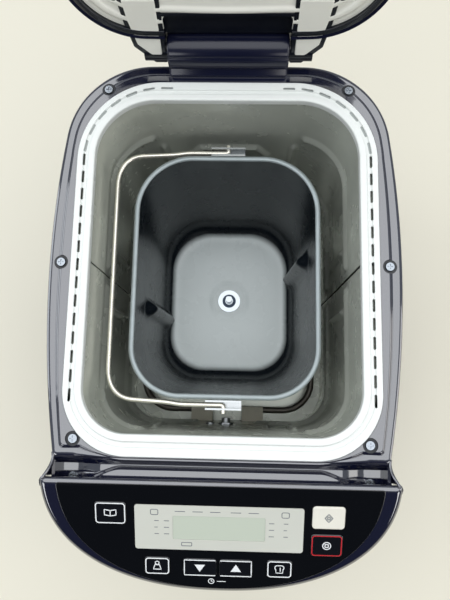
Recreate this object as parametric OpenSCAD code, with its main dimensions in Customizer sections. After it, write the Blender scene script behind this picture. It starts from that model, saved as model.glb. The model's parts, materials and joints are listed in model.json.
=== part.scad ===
// Bread machine with its lid open, its baking pan in place and the pan's handle folded down.
// X is the width, +Y runs from the control panel to the hinge and +Z is up.
// Lengths are worked out from the vertical drive axis and then moved by in_row() so that
// the part's origin is under the middle of its box, on the table.

/* [Body] */
// Widest part of the body
body_w = 256; // [250:1:262]
// Height of the flat deck round the baking chamber
deck_h = 288; // [280:1:296]
// Distance from the drive axis to the back of the body
body_rear = 155; // [153:1:158]
// Distance from the drive axis to the front of the control panel
body_front = 232; // [229:1:236]
// Wall of the moulded body
body_wall = 2.4; // [2:0.1:3]
// Height of the rubber feet
foot_h = 6; // [5:1:8]

/* [Chamber] */
// Width of the mouth of the baking chamber
mouth_w = 195; // [193:1:197]
// Depth of the mouth from front to back
mouth_d = 245; // [243:1:247]
// Width of the light vent rim round the mouth
rim_w = 222; // [220:1:224]
// Height of the chamber floor
chamber_floor_z = 68; // [64:1:70]

/* [Control panel] */
// Slope of the panel down to its front, in degrees
panel_slope = 21.5; // [20:0.5:23]
// Width of the panel across its two tips
panel_w = 246; // [242:1:250]
// Travel of each key
key_travel = 0.8; // [0.4:0.1:1]

/* [Lid] */
// Angle from closed to open, in degrees
lid_angle = 104; // [98:1:108]
// Height of the closed lid's top over the deck
lid_rise = 72; // [68:1:76]
// Length of the hinge barrel
barrel_len = 86; // [84:1:88]

/* [Baking pan] */
// Width of the pan at its rim
pan_w = 149; // [147:1:151]
// Depth of the pan at its rim, from front to back
pan_d = 196; // [194:1:198]
// Depth of the pan from rim to floor
pan_depth = 142; // [140:1:144]
// Distance from the deck down to the pan's rim
pan_drop = 47; // [45:1:49]
// Diameter of the handle's wire
handle_wire = 4; // [3.6:0.1:4.2]

/* [Drive] */
// Diameter of the kneading shaft's free end, inside the pan
shaft_d = 7; // [6.5:0.5:7.5]
// Diameter of the large belt pulley
pulley_d = 92; // [86:1:96]
// Diameter of the motor's belt pulley
motor_pulley_d = 18; // [16:1:20]
// Distance from the drive axis to the motor axis
motor_reach = 182; // [180:1:184]

/* [Hidden] */

// Running clearance of a shaft in its bore, and the gap between separate bodies
run = 0.05;
gap = 0.3;
// Number of sides of a full circle, and of a circle inside a hull
round_fn = 48;
soft_fn = 32;
$fn = round_fn;

// Plan of the body: a bowed side, a round rear corner and a full rounded front
side_r = 770;
side_mid = -5;
rear_r = 65;
rear_crown = 1.4;
front_mid = -137;
front_power = 2.6;
deck_front = -139;
lid_front_r = 16;

// Heights
plate_t = 3;
base_z = foot_h;
shell_z = base_z + plate_t;
skirt_h = 14;
frame_z = deck_h - 34;
rim_rise = 2.2;

// Mouth and rim
mouth_front_r = 32;
mouth_rear_r = 44;
mouth_hw = mouth_w / 2;
mouth_hd = mouth_d / 2;
rim_hw = rim_w / 2;
rim_hd = mouth_hd + 15.3;
vent_len = 9.2;
vent_gap = 1.8;
vent_pitch = 13.3;
vent_first = -97;
vent_count = 14;
vent_corner_count = 6;
sheet_t = 1;
chamber_clear = 1.5;

// Control panel: its lip is its rear, top edge
lip_y = -152;
lip_z = deck_h + 4;
panel_mid = -150;
panel_power = 2.25;
panel_skirt = 16;
skirt_rear = -159.5;
film_t = 0.5;
key_w = 22;
key_d = 17;
small_key_w = 18;
small_key_d = 14;
time_key_w = 23.5;

// Lid
lid_inset = 11;
lid_front = -148;
lid_gap = 1.5;
lid_wall = 2.5;
axis_y = 159;
axis_z = deck_h + 10;
barrel_r = 13.8;
arm_in = barrel_len / 2 + 2;
arm_out = 69;
pin_r = 3;
// Each layer of the lid's dome: height over the deck and how far it is set in
lid_layers = [[lid_gap, lid_inset], [lid_rise - 26, lid_inset + 3], [lid_rise - 9, lid_inset + 14], [lid_rise, lid_inset + 38]];

// Pan
pan_wall = 1.5;
pan_rim_z = deck_h - pan_drop;
pan_floor_z = pan_rim_z - pan_depth;
pan_front_r = 40;
pan_rear_r = 46;
pan_draft = 8;
pan_end_draft = 11;
pivot_z = pan_rim_z - 3;
wire_r = handle_wire / 2;
rim_bead = 1.5;
bracket_w = 28;
bracket_t = 1.4;
bracket_y = pan_d / 2 + rim_bead + 0.1;
handle_arm_y = bracket_y + bracket_t + 0.3 + wire_r;
ear_y = handle_arm_y + wire_r + 0.3;
handle_reach = 91.5;
handle_bend = 24;

// Drive line
shaft_r = 4;
free_r = shaft_d / 2;
belt_z = 20;
belt_w = 10;
belt_t = 2;
dog_z = chamber_floor_z + 4;
motor_y = -motor_reach;
motor_r = 31;
kneader_top = pan_floor_z + 16.5;

// The rearmost point of the open lid gives the middle of the whole box
function opened_y(y, z) = axis_y + (y - axis_y) * cos(lid_angle) + (z - axis_z) * sin(lid_angle);
lid_reach = max([for (l = lid_layers) opened_y(lid_front + (l[1] - lid_inset), deck_h + l[0])]);
row_mid = (lid_reach - body_front) / 2;

// ---------- outlines, each as the right half from front to rear ----------
function arc(x, y, r, a0, a1, n = 10) =
    [for (i = [0:n]) let (a = a0 + (a1 - a0) * i / n) [x + r * cos(a), y + r * sin(a)]];
function both_sides(half) =
    concat(half, [for (i = [len(half) - 1:-1:0]) [-half[i][0], half[i][1]]]);
function side_x(y) = body_w / 2 - side_r + sqrt(side_r * side_r - (y - side_mid) * (y - side_mid));

// The rear corner's arc starts where it is tangent to the bowed side
rear_cy = body_rear - rear_crown - rear_r;
rear_lean = asin((rear_cy - side_mid) / (side_r - rear_r));
rear_cx = body_w / 2 - side_r + (side_r - rear_r) * cos(rear_lean);
function rear_half(e, from_y) = concat(
    [for (y = [from_y:16:rear_cy - 8]) [side_x(y) - e, y]],
    arc(rear_cx, rear_cy, rear_r - e, rear_lean, 90, 12),
    [[rear_cx / 2, body_rear - rear_crown / 3 - e], [1, body_rear - e]]);
function oblong_half(hw, front, rear, rf, rr) =
    concat(arc(hw - rf, front + rf, rf, -90, 0), arc(hw - rr, rear - rr, rr, 0, 90));
function bow_half(a, b, mid, power, n = 16) =
    [for (i = [1:n]) let (t = 90 * i / n) [a * pow(sin(t), 2 / power), mid - b * pow(cos(t), 2 / power)]];

module deck_outline(e, front) polygon(both_sides(rear_half(e, front)));
module body_outline(e) {
    bow = bow_half(side_x(front_mid) - e, body_front + front_mid - e, front_mid, front_power);
    polygon(both_sides(concat(bow, rear_half(e, front_mid + 16))));
}
module oblong(hw, hd, rf, rr) polygon(both_sides(oblong_half(hw, -hd, hd, rf, rr)));
module mouth(grow) oblong(mouth_hw + grow, mouth_hd + grow, mouth_front_r + grow, mouth_rear_r + grow);
module rim_outline(grow) oblong(rim_hw + grow, rim_hd + grow, mouth_front_r + 14 + grow, mouth_rear_r + 17 + grow);
// The panel's round front, cut off behind a given line
module panel_outline(e, side_e, rear) intersection() {
    polygon(both_sides(bow_half(panel_w / 2 - side_e, body_front + panel_mid - e, panel_mid, panel_power)));
    translate([-body_w, -300]) square([2 * body_w, 300 + rear]);
}
module soft_rect(w, d, r) polygon(both_sides(oblong_half(w / 2, -d / 2, d / 2, r, r)));
module slab(z0, z1) translate([0, 0, z0]) linear_extrude(z1 - z0) children();
module along_x(points, half) rotate([90, 0, 90]) linear_extrude(2 * half, center = true) polygon(points);
module in_row() translate([0, -row_mid, 0]) children();
module both() {
    children();
    mirror([1, 0, 0]) children();
}

// Everything between two heights over the panel's sloping top
function panel_z(y) = lip_z + (y - lip_y) * tan(panel_slope);
module panel_band(low, high) {
    y0 = -body_front - 20;
    y1 = lip_y + 30;
    along_x([[y0, panel_z(y0) + low], [y1, panel_z(y1) + low], [y1, panel_z(y1) + high], [y0, panel_z(y0) + high]], body_w);
}
module on_panel(x, s) translate([0, lip_y, lip_z]) rotate([panel_slope, 0, 0]) translate([x, -s, 0]) children();

// Centre of each key across the panel and down its slope, with its width and depth
key_places = [
    ["menu_key", -74, 25, key_w, key_d], ["start_key", 74, 24.5, key_w, key_d], ["stop_key", 73.5, 45.5, key_w, key_d],
    ["size_key", -42.5, 65, small_key_w, small_key_d], ["crust_key", 42, 65, small_key_w, small_key_d],
    ["later_key", -13, 65.5, time_key_w, small_key_d], ["earlier_key", 12, 65.5, time_key_w, small_key_d]
];
module key_cuts(low, high, grow) for (k = key_places)
    on_panel(k[1], k[2]) slab(low, high) soft_rect(k[3] + 2 * grow, k[4] + 2 * grow, 2.5 + grow);
module key(i) on_panel(key_places[i][1], key_places[i][2])
    slab(-5, film_t + 0.5) soft_rect(key_places[i][3], key_places[i][4], 2.5);

// ---------- base and body ----------
foot_places = [[-88, 100], [88, 100], [-84, -150], [84, -150]];
// Where the supply cord leaves at the back
cord_x = -52;
cord_z = 28;
base_screw_places = [[-104, 60], [104, 60], [-104, -80], [104, -80], [-40, 140], [40, 140]];
module base_plate() color("#2b2f38") difference() {
    slab(base_z, base_z + plate_t) body_outline(0.4);
    for (p = base_screw_places) translate([p[0], p[1], base_z - 1]) cylinder(r = 1.7, h = plate_t + 2);
    for (x = [-60:15:60]) translate([x - 3, -110, base_z - 1]) cube([6, 60, plate_t + 2]);
}
module rubber_feet() color("#1c1d20") for (p = foot_places)
    translate([p[0], p[1], 0]) cylinder(r1 = 8.5, r2 = 10, h = foot_h);
module base_screws() color("silver") for (p = base_screw_places) translate([p[0], p[1], 0]) {
    translate([0, 0, base_z - 2]) cylinder(r = 3.4, h = 2);
    translate([0, 0, base_z]) cylinder(r = 1.6, h = 12);
}
module body_shell() color("#23283a") difference() {
    slab(shell_z, deck_h) body_outline(0);
    slab(shell_z - 1, deck_h + 1) body_outline(body_wall);
    // The bezel's skirt and the panel housing stand on the wall's stepped top edge
    along_x([[-300, panel_z(-300) - panel_skirt], [deck_front - 2, panel_z(deck_front - 2) - panel_skirt],
        [deck_front - 2, deck_h - skirt_h], [300, deck_h - skirt_h], [300, deck_h + 60], [-300, deck_h + 60]], body_w);
    // Cooling slots in the back wall and low in both sides
    for (i = [-4:4]) translate([i * 9 - 2, body_rear - 12, 40]) cube([4, 20, 34]);
    for (i = [0:6]) translate([-body_w, -60 + i * 10, 30]) cube([2 * body_w, 4, 22]);
    translate([cord_x, body_rear + 8, cord_z]) rotate([90, 0, 0]) cylinder(r = 7, h = 30);
}
// Posts that take the base screws
module body_posts() color("#23283a") for (p = base_screw_places) translate([p[0], p[1], shell_z]) difference() {
    cylinder(r = 4, h = 22);
    translate([0, 0, -1]) cylinder(r = 1.6, h = 18);
}
// Bush at the back where the supply cord leaves
module cord_bush() color("#1c1d20") translate([cord_x, body_rear, cord_z]) rotate([90, 0, 0]) difference() {
    union() {
        translate([0, 0, -4]) cylinder(r = 10, h = 4);
        cylinder(r = 6.9, h = 8);
        translate([0, 0, 4.5]) cylinder(r = 9, h = 3.5);
    }
    translate([0, 0, -5]) cylinder(r = 3.6, h = 14);
}

// ---------- deck ----------
deck_screw_places = [[90.6, 132.3], [118.2, -2.3], [101.8, -126.5]];
module top_frame() color("#34373d") {
    difference() {
        slab(frame_z, frame_z + 3) intersection() {
            body_outline(body_wall + 0.2);
            translate([-body_w, deck_front - 6]) square([2 * body_w, 400]);
        }
        slab(frame_z - 1, frame_z + 4) mouth(4);
    }
    both() for (p = deck_screw_places) translate([p[0], p[1], frame_z + 3]) difference() {
        cylinder(r = 4, h = deck_h - plate_t - frame_z - 3);
        translate([0, 0, 12]) cylinder(r = 1.5, h = 40);
    }
}
module deck_bezel() color("#252b40") difference() {
    union() {
        slab(deck_h - plate_t, deck_h) deck_outline(0, deck_front);
        slab(deck_h - skirt_h, deck_h - plate_t) difference() {
            deck_outline(0, deck_front);
            deck_outline(body_wall, deck_front + body_wall);
        }
    }
    slab(deck_h - plate_t - 1, deck_h + 1) rim_outline(0.2);
    both() for (p = deck_screw_places) translate([p[0], p[1], deck_h - 1.8]) cylinder(r = 4.4, h = 4);
    both() for (p = deck_screw_places) translate([p[0], p[1], deck_h - 8]) cylinder(r = 1.7, h = 12);
}
module pan_head_screw() difference() {
    union() {
        cylinder(r1 = 3.6, r2 = 3, h = 1.6);
        translate([0, 0, -10]) cylinder(r = 1.5, h = 10);
    }
    for (a = [0, 90]) rotate([0, 0, a]) translate([-2, -0.45, 0.7]) cube([4, 0.9, 2]);
}
module deck_screws() color("silver") both() {
    for (p = deck_screw_places) translate([p[0], p[1], deck_h - 1.8]) pan_head_screw();
    translate([104.2, -153.5, pit_z]) pan_head_screw();
}
// Glossy groove between the deck and the panel's lip, with a pit for a screw at each end
pit_x = 97;
pit_out = 112.5;
pit_z = deck_h - 16;
module front_trough() color("#161924") {
    along_x([[deck_front - 0.2, pit_z - 2], [deck_front - 0.2, pit_z], [deck_front - 4, pit_z],
        [lip_y + 0.2, lip_z - 5], [lip_y + 0.2, lip_z - 8], [deck_front - 5, pit_z - 2]], pit_x);
    both() difference() {
        translate([pit_x, -159, pit_z - 2]) cube([pit_out - pit_x, 19.8, 2]);
        translate([104.2, -153.5, pit_z - 5]) cylinder(r = 1.7, h = 8);
    }
}
module rim_slots() {
    both() for (i = [0:vent_count - 1]) translate([rim_hw - 5, vent_first + i * vent_pitch, deck_h])
        cube([vent_gap, vent_len, 30], center = true);
    corner_r = mouth_rear_r + 17;
    // The slots round the rear corners are blind
    both() for (i = [0:vent_corner_count - 1]) translate([rim_hw - corner_r, rim_hd - corner_r, deck_h + 5.2])
        rotate([0, 0, 10 + i * 14]) translate([corner_r - 5, 0, 0]) cube([vent_gap, vent_len, 10], center = true);
    both() translate([46, rim_hd - 5, deck_h + 5.2]) cube([vent_len, vent_gap, 10], center = true);
}
module vent_rim() color("#e9ebe6") difference() {
    union() {
        slab(deck_h - plate_t, deck_h + 1) rim_outline(0);
        slab(deck_h + 1, deck_h + rim_rise) mouth(5);
        slab(deck_h - 4.6, deck_h - plate_t) mouth(chamber_clear - 0.2);
    }
    slab(deck_h - 40, deck_h + 10) mouth(0);
    rim_slots();
}

// ---------- baking chamber ----------
module chamber_half(front) {
    keep = front ? [-body_w, -300] : [-body_w, 0.2];
    slab(chamber_floor_z, deck_h - 4) intersection() {
        difference() {
            mouth(chamber_clear + sheet_t);
            mouth(chamber_clear);
        }
        translate(keep) square([2 * body_w, 300 - 0.2]);
    }
    // Turned-out flange that hangs on the vent rim
    slab(deck_h - 4, deck_h - plate_t) intersection() {
        difference() {
            mouth(chamber_clear + 8);
            mouth(chamber_clear);
        }
        translate(keep) square([2 * body_w, 300 - 0.2]);
    }
}
module chamber_front() color("#9a9c93") difference() {
    chamber_half(true);
    for (x = [0, -15]) on_front_wall(x) translate([0, 0, -8]) cylinder(r = 4.2, h = 20);
}
module chamber_rear() color("#9a9c93") chamber_half(false);
module chamber_floor() color("#8b8d86") difference() {
    slab(chamber_floor_z - sheet_t, chamber_floor_z) mouth(chamber_clear + sheet_t);
    translate([0, 0, chamber_floor_z - 5]) cylinder(r = 8, h = 10);
}
heater_z = chamber_floor_z + 17;
heater_r = 3.2;
module heater_element() color("#6f6c66") translate([0, 0, heater_z]) {
    hw = 87;
    hd = 112;
    bend = 30;
    for (sx = [-1, 1], sy = [-1, 1]) translate([sx * (hw - bend), sy * (hd - bend), 0])
        rotate([0, 0, sx > 0 ? (sy > 0 ? 0 : -90) : (sy > 0 ? 90 : 180)])
        rotate_extrude(angle = 90) translate([bend, 0]) circle(r = heater_r, $fn = 24);
    for (s = [-1, 1]) translate([s * hw, 0, 0]) rotate([90, 0, 0])
        cylinder(r = heater_r, h = 2 * (hd - bend), center = true, $fn = 24);
    translate([0, hd, 0]) rotate([0, 90, 0]) cylinder(r = heater_r, h = 2 * (hw - bend), center = true, $fn = 24);
    for (s = [-1, 1]) translate([s * 46.5, -hd, 0]) rotate([0, 90, 0])
        cylinder(r = heater_r, h = 21, center = true, $fn = 24);
}
// Ceramic blocks that hold the two ends of the heater at the front wall
module heater_terminals() color("#d8d3c2") for (s = [-1, 1]) difference() {
    translate([s * 26 - 10.8, -mouth_hd - chamber_clear + 0.2, heater_z - 8]) cube([21.6, 15, 16]);
    translate([s * 46.5, -112, heater_z]) rotate([0, 90, 0]) cylinder(r = heater_r, h = 40, center = true, $fn = 24);
}
sensor_z = 138;
module on_front_wall(x) translate([x, -mouth_hd - chamber_clear, sensor_z]) rotate([-90, 0, 0]) children();
module temperature_sensor() color("#b9bcb8") on_front_wall(0) {
    translate([0, 0, -6]) cylinder(r = 4, h = 12);
    translate([0, 0, 0.1]) cylinder(r = 7, h = 1.6, $fn = 6);
}
module thermal_fuse() color("#9b9d98") on_front_wall(-15) translate([0, 0, -7]) difference() {
    cylinder(r = 4.1, h = 8.4);
    translate([0, 0, 5]) cylinder(r = 3, h = 5);
}
module pan_seat() color("#a9aba4") {
    translate([0, 0, chamber_floor_z]) difference() {
        cylinder(r = 46, h = 9);
        translate([0, 0, -1]) cylinder(r = 43.5, h = 12);
    }
    for (a = [45:90:315]) rotate([0, 0, a]) translate([46, -6, chamber_floor_z]) cube([10, 12, 1.2]);
}
module bearing_housing() color("#8a8d90") difference() {
    union() {
        translate([0, 0, 38]) cylinder(r = 10, h = chamber_floor_z - sheet_t - 38);
        translate([0, 0, chamber_floor_z - sheet_t - 4]) cylinder(r = 30, h = 4);
        translate([0, 0, chamber_floor_z - sheet_t]) cylinder(r = 7.8, h = sheet_t + 1);
    }
    translate([0, 0, 30]) cylinder(r = shaft_r + run, h = 50);
}

// ---------- drive line ----------
module drive_shaft() color("#b4b7ba") translate([0, 0, 14]) cylinder(r = shaft_r, h = dog_z - 14);
module large_pulley() color("#e3e2da") translate([0, 0, belt_z]) difference() {
    union() {
        translate([0, 0, 1]) cylinder(r = pulley_d / 2, h = belt_w + 0.4);
        cylinder(r = pulley_d / 2 + 2.5, h = 1);
        translate([0, 0, belt_w + 1.4]) cylinder(r = pulley_d / 2 + 2.5, h = 1);
        cylinder(r = 10, h = belt_w + 5);
    }
    translate([0, 0, -1]) cylinder(r = shaft_r, h = 30);
    for (a = [0:60:300]) rotate([0, 0, a]) translate([27, 0, -1]) cylinder(r = 9, h = 30);
}
module drive_dog() color("#9fa3a6") {
    translate([0, 0, dog_z]) cylinder(r = 15, h = 5);
    for (s = [-1, 1]) translate([s * 11, 0, dog_z + 5]) cylinder(r = 3, h = 9);
}
module motor_shaft() color("#b4b7ba") translate([0, motor_y, 14]) cylinder(r = 3, h = 36);
module motor_pulley() color("#e3e2da") translate([0, motor_y, belt_z]) difference() {
    union() {
        translate([0, 0, 1]) cylinder(r = motor_pulley_d / 2, h = belt_w + 0.4);
        cylinder(r = motor_pulley_d / 2 + 2, h = 1);
        translate([0, 0, belt_w + 1.4]) cylinder(r = motor_pulley_d / 2 + 2, h = 1);
    }
    translate([0, 0, -1]) cylinder(r = 3, h = 30);
}
// Flat belt round both pulleys: two arcs joined by two straight runs that touch both
belt_lean = asin((pulley_d - motor_pulley_d) / 2 / motor_reach);
function belt_half(t) = concat(
    arc(0, motor_y, motor_pulley_d / 2 + t, -88, -belt_lean, 8),
    arc(0, 0, pulley_d / 2 + t, -belt_lean, 88, 20));
module drive_belt() color("#202124") slab(belt_z + 1.5, belt_z + 0.9 + belt_w) difference() {
    polygon(both_sides(belt_half(belt_t + 0.4)));
    polygon(both_sides(belt_half(0.4)));
}
module motor_body() color("#a3a6a8") translate([0, motor_y, 0]) difference() {
    union() {
        translate([0, 0, 44]) cylinder(r = motor_r, h = 52);
        translate([0, 0, 56]) slab(0, 26) soft_rect(70, 70, 8);
        translate([0, 0, 96]) cylinder(r = 12, h = 6);
    }
    translate([0, 0, 40]) cylinder(r = 3 + run, h = 12);
}
module motor_bracket() color("#8f9396") {
    difference() {
        translate([-48, motor_y - 36, 41]) cube([96, 72, 3]);
        translate([0, motor_y, 36]) cylinder(r = 12, h = 12);
    }
    for (x = [-48, 45.5]) translate([x, motor_y - 20, shell_z]) cube([2.5, 40, 32]);
}
module motor_capacitor() color("#d9d7cf") translate([-78, -150, 44]) cylinder(r = 15, h = 50);
module power_board() color("#8a6b3c") {
    translate([-72, -214, 150]) cube([144, 70, 1.6]);
    for (x = [-66, 66]) translate([x - 3, -147, 96]) cube([6, 3, 54]);
}
module transformer() color("#4b4d50") translate([-20, -196, 151.6]) cube([40, 34, 30]);
board_post_places = [[-50, 20], [50, 20], [-29, 70], [29, 70]];
module control_board() color("#2f5b3a") difference() {
    union() {
        on_panel(0, 35) slab(-11.6, -10) soft_rect(170, 37, 4);
        on_panel(0, 60) slab(-11.6, -10) soft_rect(110, 34, 4);
        // A tact switch under each key, clear of it by a little more than its travel
        for (k = key_places) on_panel(k[1], k[2]) slab(-10, -5 - key_travel - 0.5) soft_rect(6, 6, 1);
        for (p = board_post_places) on_panel(p[0], p[1]) slab(-10, -plate_t) circle(r = 2.5);
        // Buzzer
        on_panel(51, 42) slab(-10, -4.5) circle(r = 4);
    }
    on_panel(0, 34.5) slab(-20, -10.5) soft_rect(40, 10, 2);
}

// ---------- control panel ----------
module panel_housing() color("#23283a") difference() {
    union() {
        intersection() {
            slab(deck_h - 80, deck_h + 30) panel_outline(0, 0, lip_y);
            panel_band(-plate_t, 0);
        }
        // Skirt, set back under the lip to leave the groove's slot
        intersection() {
            slab(deck_h - 80, deck_h + 30) difference() {
                panel_outline(0, 0, skirt_rear);
                panel_outline(3, 3, skirt_rear - 3);
            }
            panel_band(-panel_skirt, -plate_t);
        }
    }
    key_cuts(-20, 5, gap);
    on_panel(0, 35) slab(-20, 5) soft_rect(66, 21, 1);
}
module panel_film() color("#101217") difference() {
    intersection() {
        slab(deck_h - 80, deck_h + 30) panel_outline(3, 12, lip_y - 3);
        panel_band(0, film_t / cos(panel_slope));
    }
    key_cuts(-2, 5, gap);
    on_panel(0, 35) slab(-2, 5) soft_rect(115.6, 34.6, 2);
}
module display_plate() color("#cfd0c8") on_panel(0, 35) difference() {
    slab(0.02, film_t) soft_rect(115, 34, 2);
    slab(-1, 5) soft_rect(63, 18, 1);
}
module display_module() color("#9aa88e") on_panel(0, 35) {
    slab(-1.5, 0.02 + film_t / 2) soft_rect(62.8, 17.8, 1);
    slab(-9.8, -1.5) soft_rect(65, 20, 1);
}
module menu_key() color("#14161b") key(0);
module start_key() color("#e8e6dd") key(1);
module stop_key() color("#14161b") key(2);
module size_key() color("#14161b") key(3);
module crust_key() color("#14161b") key(4);
module later_key() color("#14161b") key(5);
module earlier_key() color("#14161b") key(6);

// ---------- hinge and lid ----------
module hinge_cover() color("#20253a") difference() {
    union() {
        translate([0, axis_y, axis_z]) rotate([0, 90, 0]) cylinder(r = barrel_r, h = barrel_len, center = true);
        along_x([[142, deck_h], [body_rear + 0.2, deck_h], [body_rear + 0.2, deck_h - 26], [172, deck_h - 6],
            [172, axis_z], [145.5, axis_z]], barrel_len / 2);
    }
    translate([0, axis_y, axis_z]) rotate([0, 90, 0]) cylinder(r = pin_r, h = 2 * barrel_len, center = true);
    // Room for the deck's rear edge under the barrel
    translate([-barrel_len, 100, deck_h - 40]) cube([2 * barrel_len, body_rear + 0.1 - 100, 40]);
}
module hinge_pins() color("silver") both() translate([arm_in - 18, axis_y, axis_z]) rotate([0, 90, 0])
    cylinder(r = pin_r, h = 34);
module opened() translate([0, axis_y, axis_z]) rotate([-lid_angle, 0, 0]) translate([0, -axis_y, -axis_z]) children();
// The lid's plan is the deck's, set in, with a round corner each side of its front edge
module lid_outline(e) {
    front = lid_front + e - lid_inset;
    corner_x = side_x(front + lid_front_r) - e - lid_front_r;
    polygon(both_sides(concat(arc(corner_x, front + lid_front_r, lid_front_r, -90, -9, 6),
        rear_half(e, front + lid_front_r + 16))));
}
module lid_layer(l, e) slab(deck_h + l[0], deck_h + l[0] + 0.5) lid_outline(l[1] + e);
module lid_notch(y) translate([-arm_in, y, deck_h - 20]) cube([2 * arm_in, 80, lid_rise + 80]);
module lid_shell() color("#252b40") opened() difference() {
    hull() for (l = lid_layers) lid_layer(l, 0);
    hull() for (l = lid_layers) translate([0, 0, -lid_wall]) lid_layer(l, lid_wall);
    translate([-body_w, -300, deck_h - 20]) cube([2 * body_w, 600, 20 + lid_gap]);
    lid_notch(138.5);
    slab(deck_h, deck_h + 20.2) both() arm_plan(0.2);
}
module lid_frame() color("#1d2233") opened() slab(deck_h + lid_gap + 1.1, deck_h + lid_gap + 3) difference() {
    lid_outline(lid_inset + lid_wall + 0.6);
    lid_outline(lid_inset + 12);
    translate([-arm_in, 120]) square([2 * arm_in, 60]);
}
slot_w = 12;
slot_pitch = 20;
module lid_plate() color("#cbcabf") opened() difference() {
    slab(deck_h + lid_gap + 3, deck_h + lid_gap + 4.2) lid_outline(lid_inset + lid_wall + 0.6);
    lid_notch(125);
    for (i = [-4:4]) translate([i * slot_pitch, 109, deck_h]) cube([slot_w, 8, 40], center = true);
    both() for (p = lid_screw_places) translate([p[0], p[1], deck_h]) cylinder(r = 1.6, h = 20);
}
lid_screw_places = [[86, 96], [98, -20], [92, -118]];
module lid_screws() color("silver") opened() both() for (p = lid_screw_places)
    translate([p[0], p[1], deck_h + lid_gap + 3]) {
        translate([0, 0, -1.6]) cylinder(r = 3, h = 1.6);
        cylinder(r = 1.5, h = 9);
    }
// Two arms carry the lid on the hinge pins, one each side of the barrel
module arm_plan(grow) polygon([[arm_in - grow, 128 - grow], [arm_out + grow, 128 - grow], [arm_out - 1 + grow, 137],
    [arm_out - 7 + grow, 158 + grow], [arm_out - 14, 163 + grow], [arm_in - grow, 163 + grow]]);
module lid_arms() color("#1d2233") opened() both() difference() {
    union() {
        slab(deck_h + lid_gap + 4.4, deck_h + 20) arm_plan(0);
        translate([arm_in, axis_y, axis_z]) rotate([0, 90, 0]) cylinder(r = 8, h = 17);
    }
    translate([arm_in - 1, axis_y, axis_z]) rotate([0, 90, 0]) cylinder(r = pin_r + run, h = 40);
}

// ---------- baking pan ----------
// Both ends lean in by pan_end_draft more than the sides
module pan_plan(shrink, ends, grow) oblong(pan_w / 2 - shrink + grow, pan_d / 2 - shrink - ends + grow,
    pan_front_r - shrink / 3 + grow, pan_rear_r - shrink / 3 + grow);
module pan_form(grow, floor_z) hull() {
    slab(pan_rim_z - 0.5, pan_rim_z) pan_plan(0, 0, grow);
    slab(floor_z + 10, floor_z + 10.5) pan_plan(pan_draft, pan_end_draft, grow);
    slab(floor_z, floor_z + 0.5) pan_plan(pan_draft + 7, pan_end_draft, grow);
}
// Upright half-round ribs folded into the pan's side walls
module wall_rib(x, y) translate([x, y, pan_floor_z + 2]) cylinder(r1 = 9, r2 = 7, h = pan_depth - 34);
module pan_body() color("#3a3d42") difference() {
    union() {
        difference() {
            pan_form(0, pan_floor_z - pan_wall);
            translate([0, 0, 0.01]) pan_form(-pan_wall, pan_floor_z);
        }
        intersection() {
            pan_form(-pan_wall, pan_floor_z);
            union() {
                wall_rib(-pan_w / 2 + pan_draft - 2, -22);
                wall_rib(pan_w / 2 - pan_draft + 2, 22);
            }
        }
    }
    translate([0, 0, pan_floor_z - 10]) cylinder(r = 9, h = 20);
}
module pan_rim() color("#4a4e55") slab(pan_rim_z, pan_rim_z + 2.6) difference() {
    pan_plan(0, 0, rim_bead);
    pan_plan(0, 0, -pan_wall);
}
// A channel at each end of the pan: the handle's arm lies in it and its end turns in the outer ear
module handle_brackets() color("#b9bcbe") for (s = [-1, 1]) difference() {
    union() {
        for (y = [bracket_y, ear_y]) translate([-bracket_w / 2, s > 0 ? y : -y - bracket_t, pivot_z - 7])
            cube([bracket_w, bracket_t, 11]);
        translate([-bracket_w / 2, s > 0 ? bracket_y : -ear_y - bracket_t, pivot_z - 8.4])
            cube([bracket_w, ear_y + bracket_t - bracket_y, bracket_t]);
        translate([-9, s > 0 ? pan_d / 2 - 0.6 : -bracket_y - 0.1, pivot_z - 8.4]) cube([18, 2.3, bracket_t]);
    }
    translate([0, s > 0 ? ear_y - 1 : -ear_y + 1, pivot_z]) rotate([s > 0 ? -90 : 90, 0, 0])
        cylinder(r = wire_r + run, h = 6);
}
module pan_base_ring() color("#5a5d62") {
    translate([0, 0, chamber_floor_z + gap]) difference() {
        cylinder(r = 41, h = pan_floor_z - pan_wall - chamber_floor_z - gap);
        translate([0, 0, -1]) cylinder(r = 38.5, h = 60);
    }
}
module shaft_bush() color("#8f9295") difference() {
    union() {
        translate([0, 0, pan_floor_z - 9]) cylinder(r = 8.9, h = 10);
        translate([0, 0, pan_floor_z - pan_wall - 3]) cylinder(r = 14, h = 3);
    }
    translate([0, 0, pan_floor_z - 12]) cylinder(r = shaft_r + run, h = 20);
}
module shaft_washer() color("#c9ccce") translate([0, 0, pan_floor_z + 1]) difference() {
    cylinder(r = 11.5, h = 1.2);
    translate([0, 0, -1]) cylinder(r = 7, h = 5);
}
module shaft_seal() color("#2a3547") translate([0, 0, pan_floor_z + 1]) difference() {
    cylinder(r = 6.9, h = 0.9);
    translate([0, 0, -1]) cylinder(r = shaft_r + run, h = 5);
}
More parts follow.
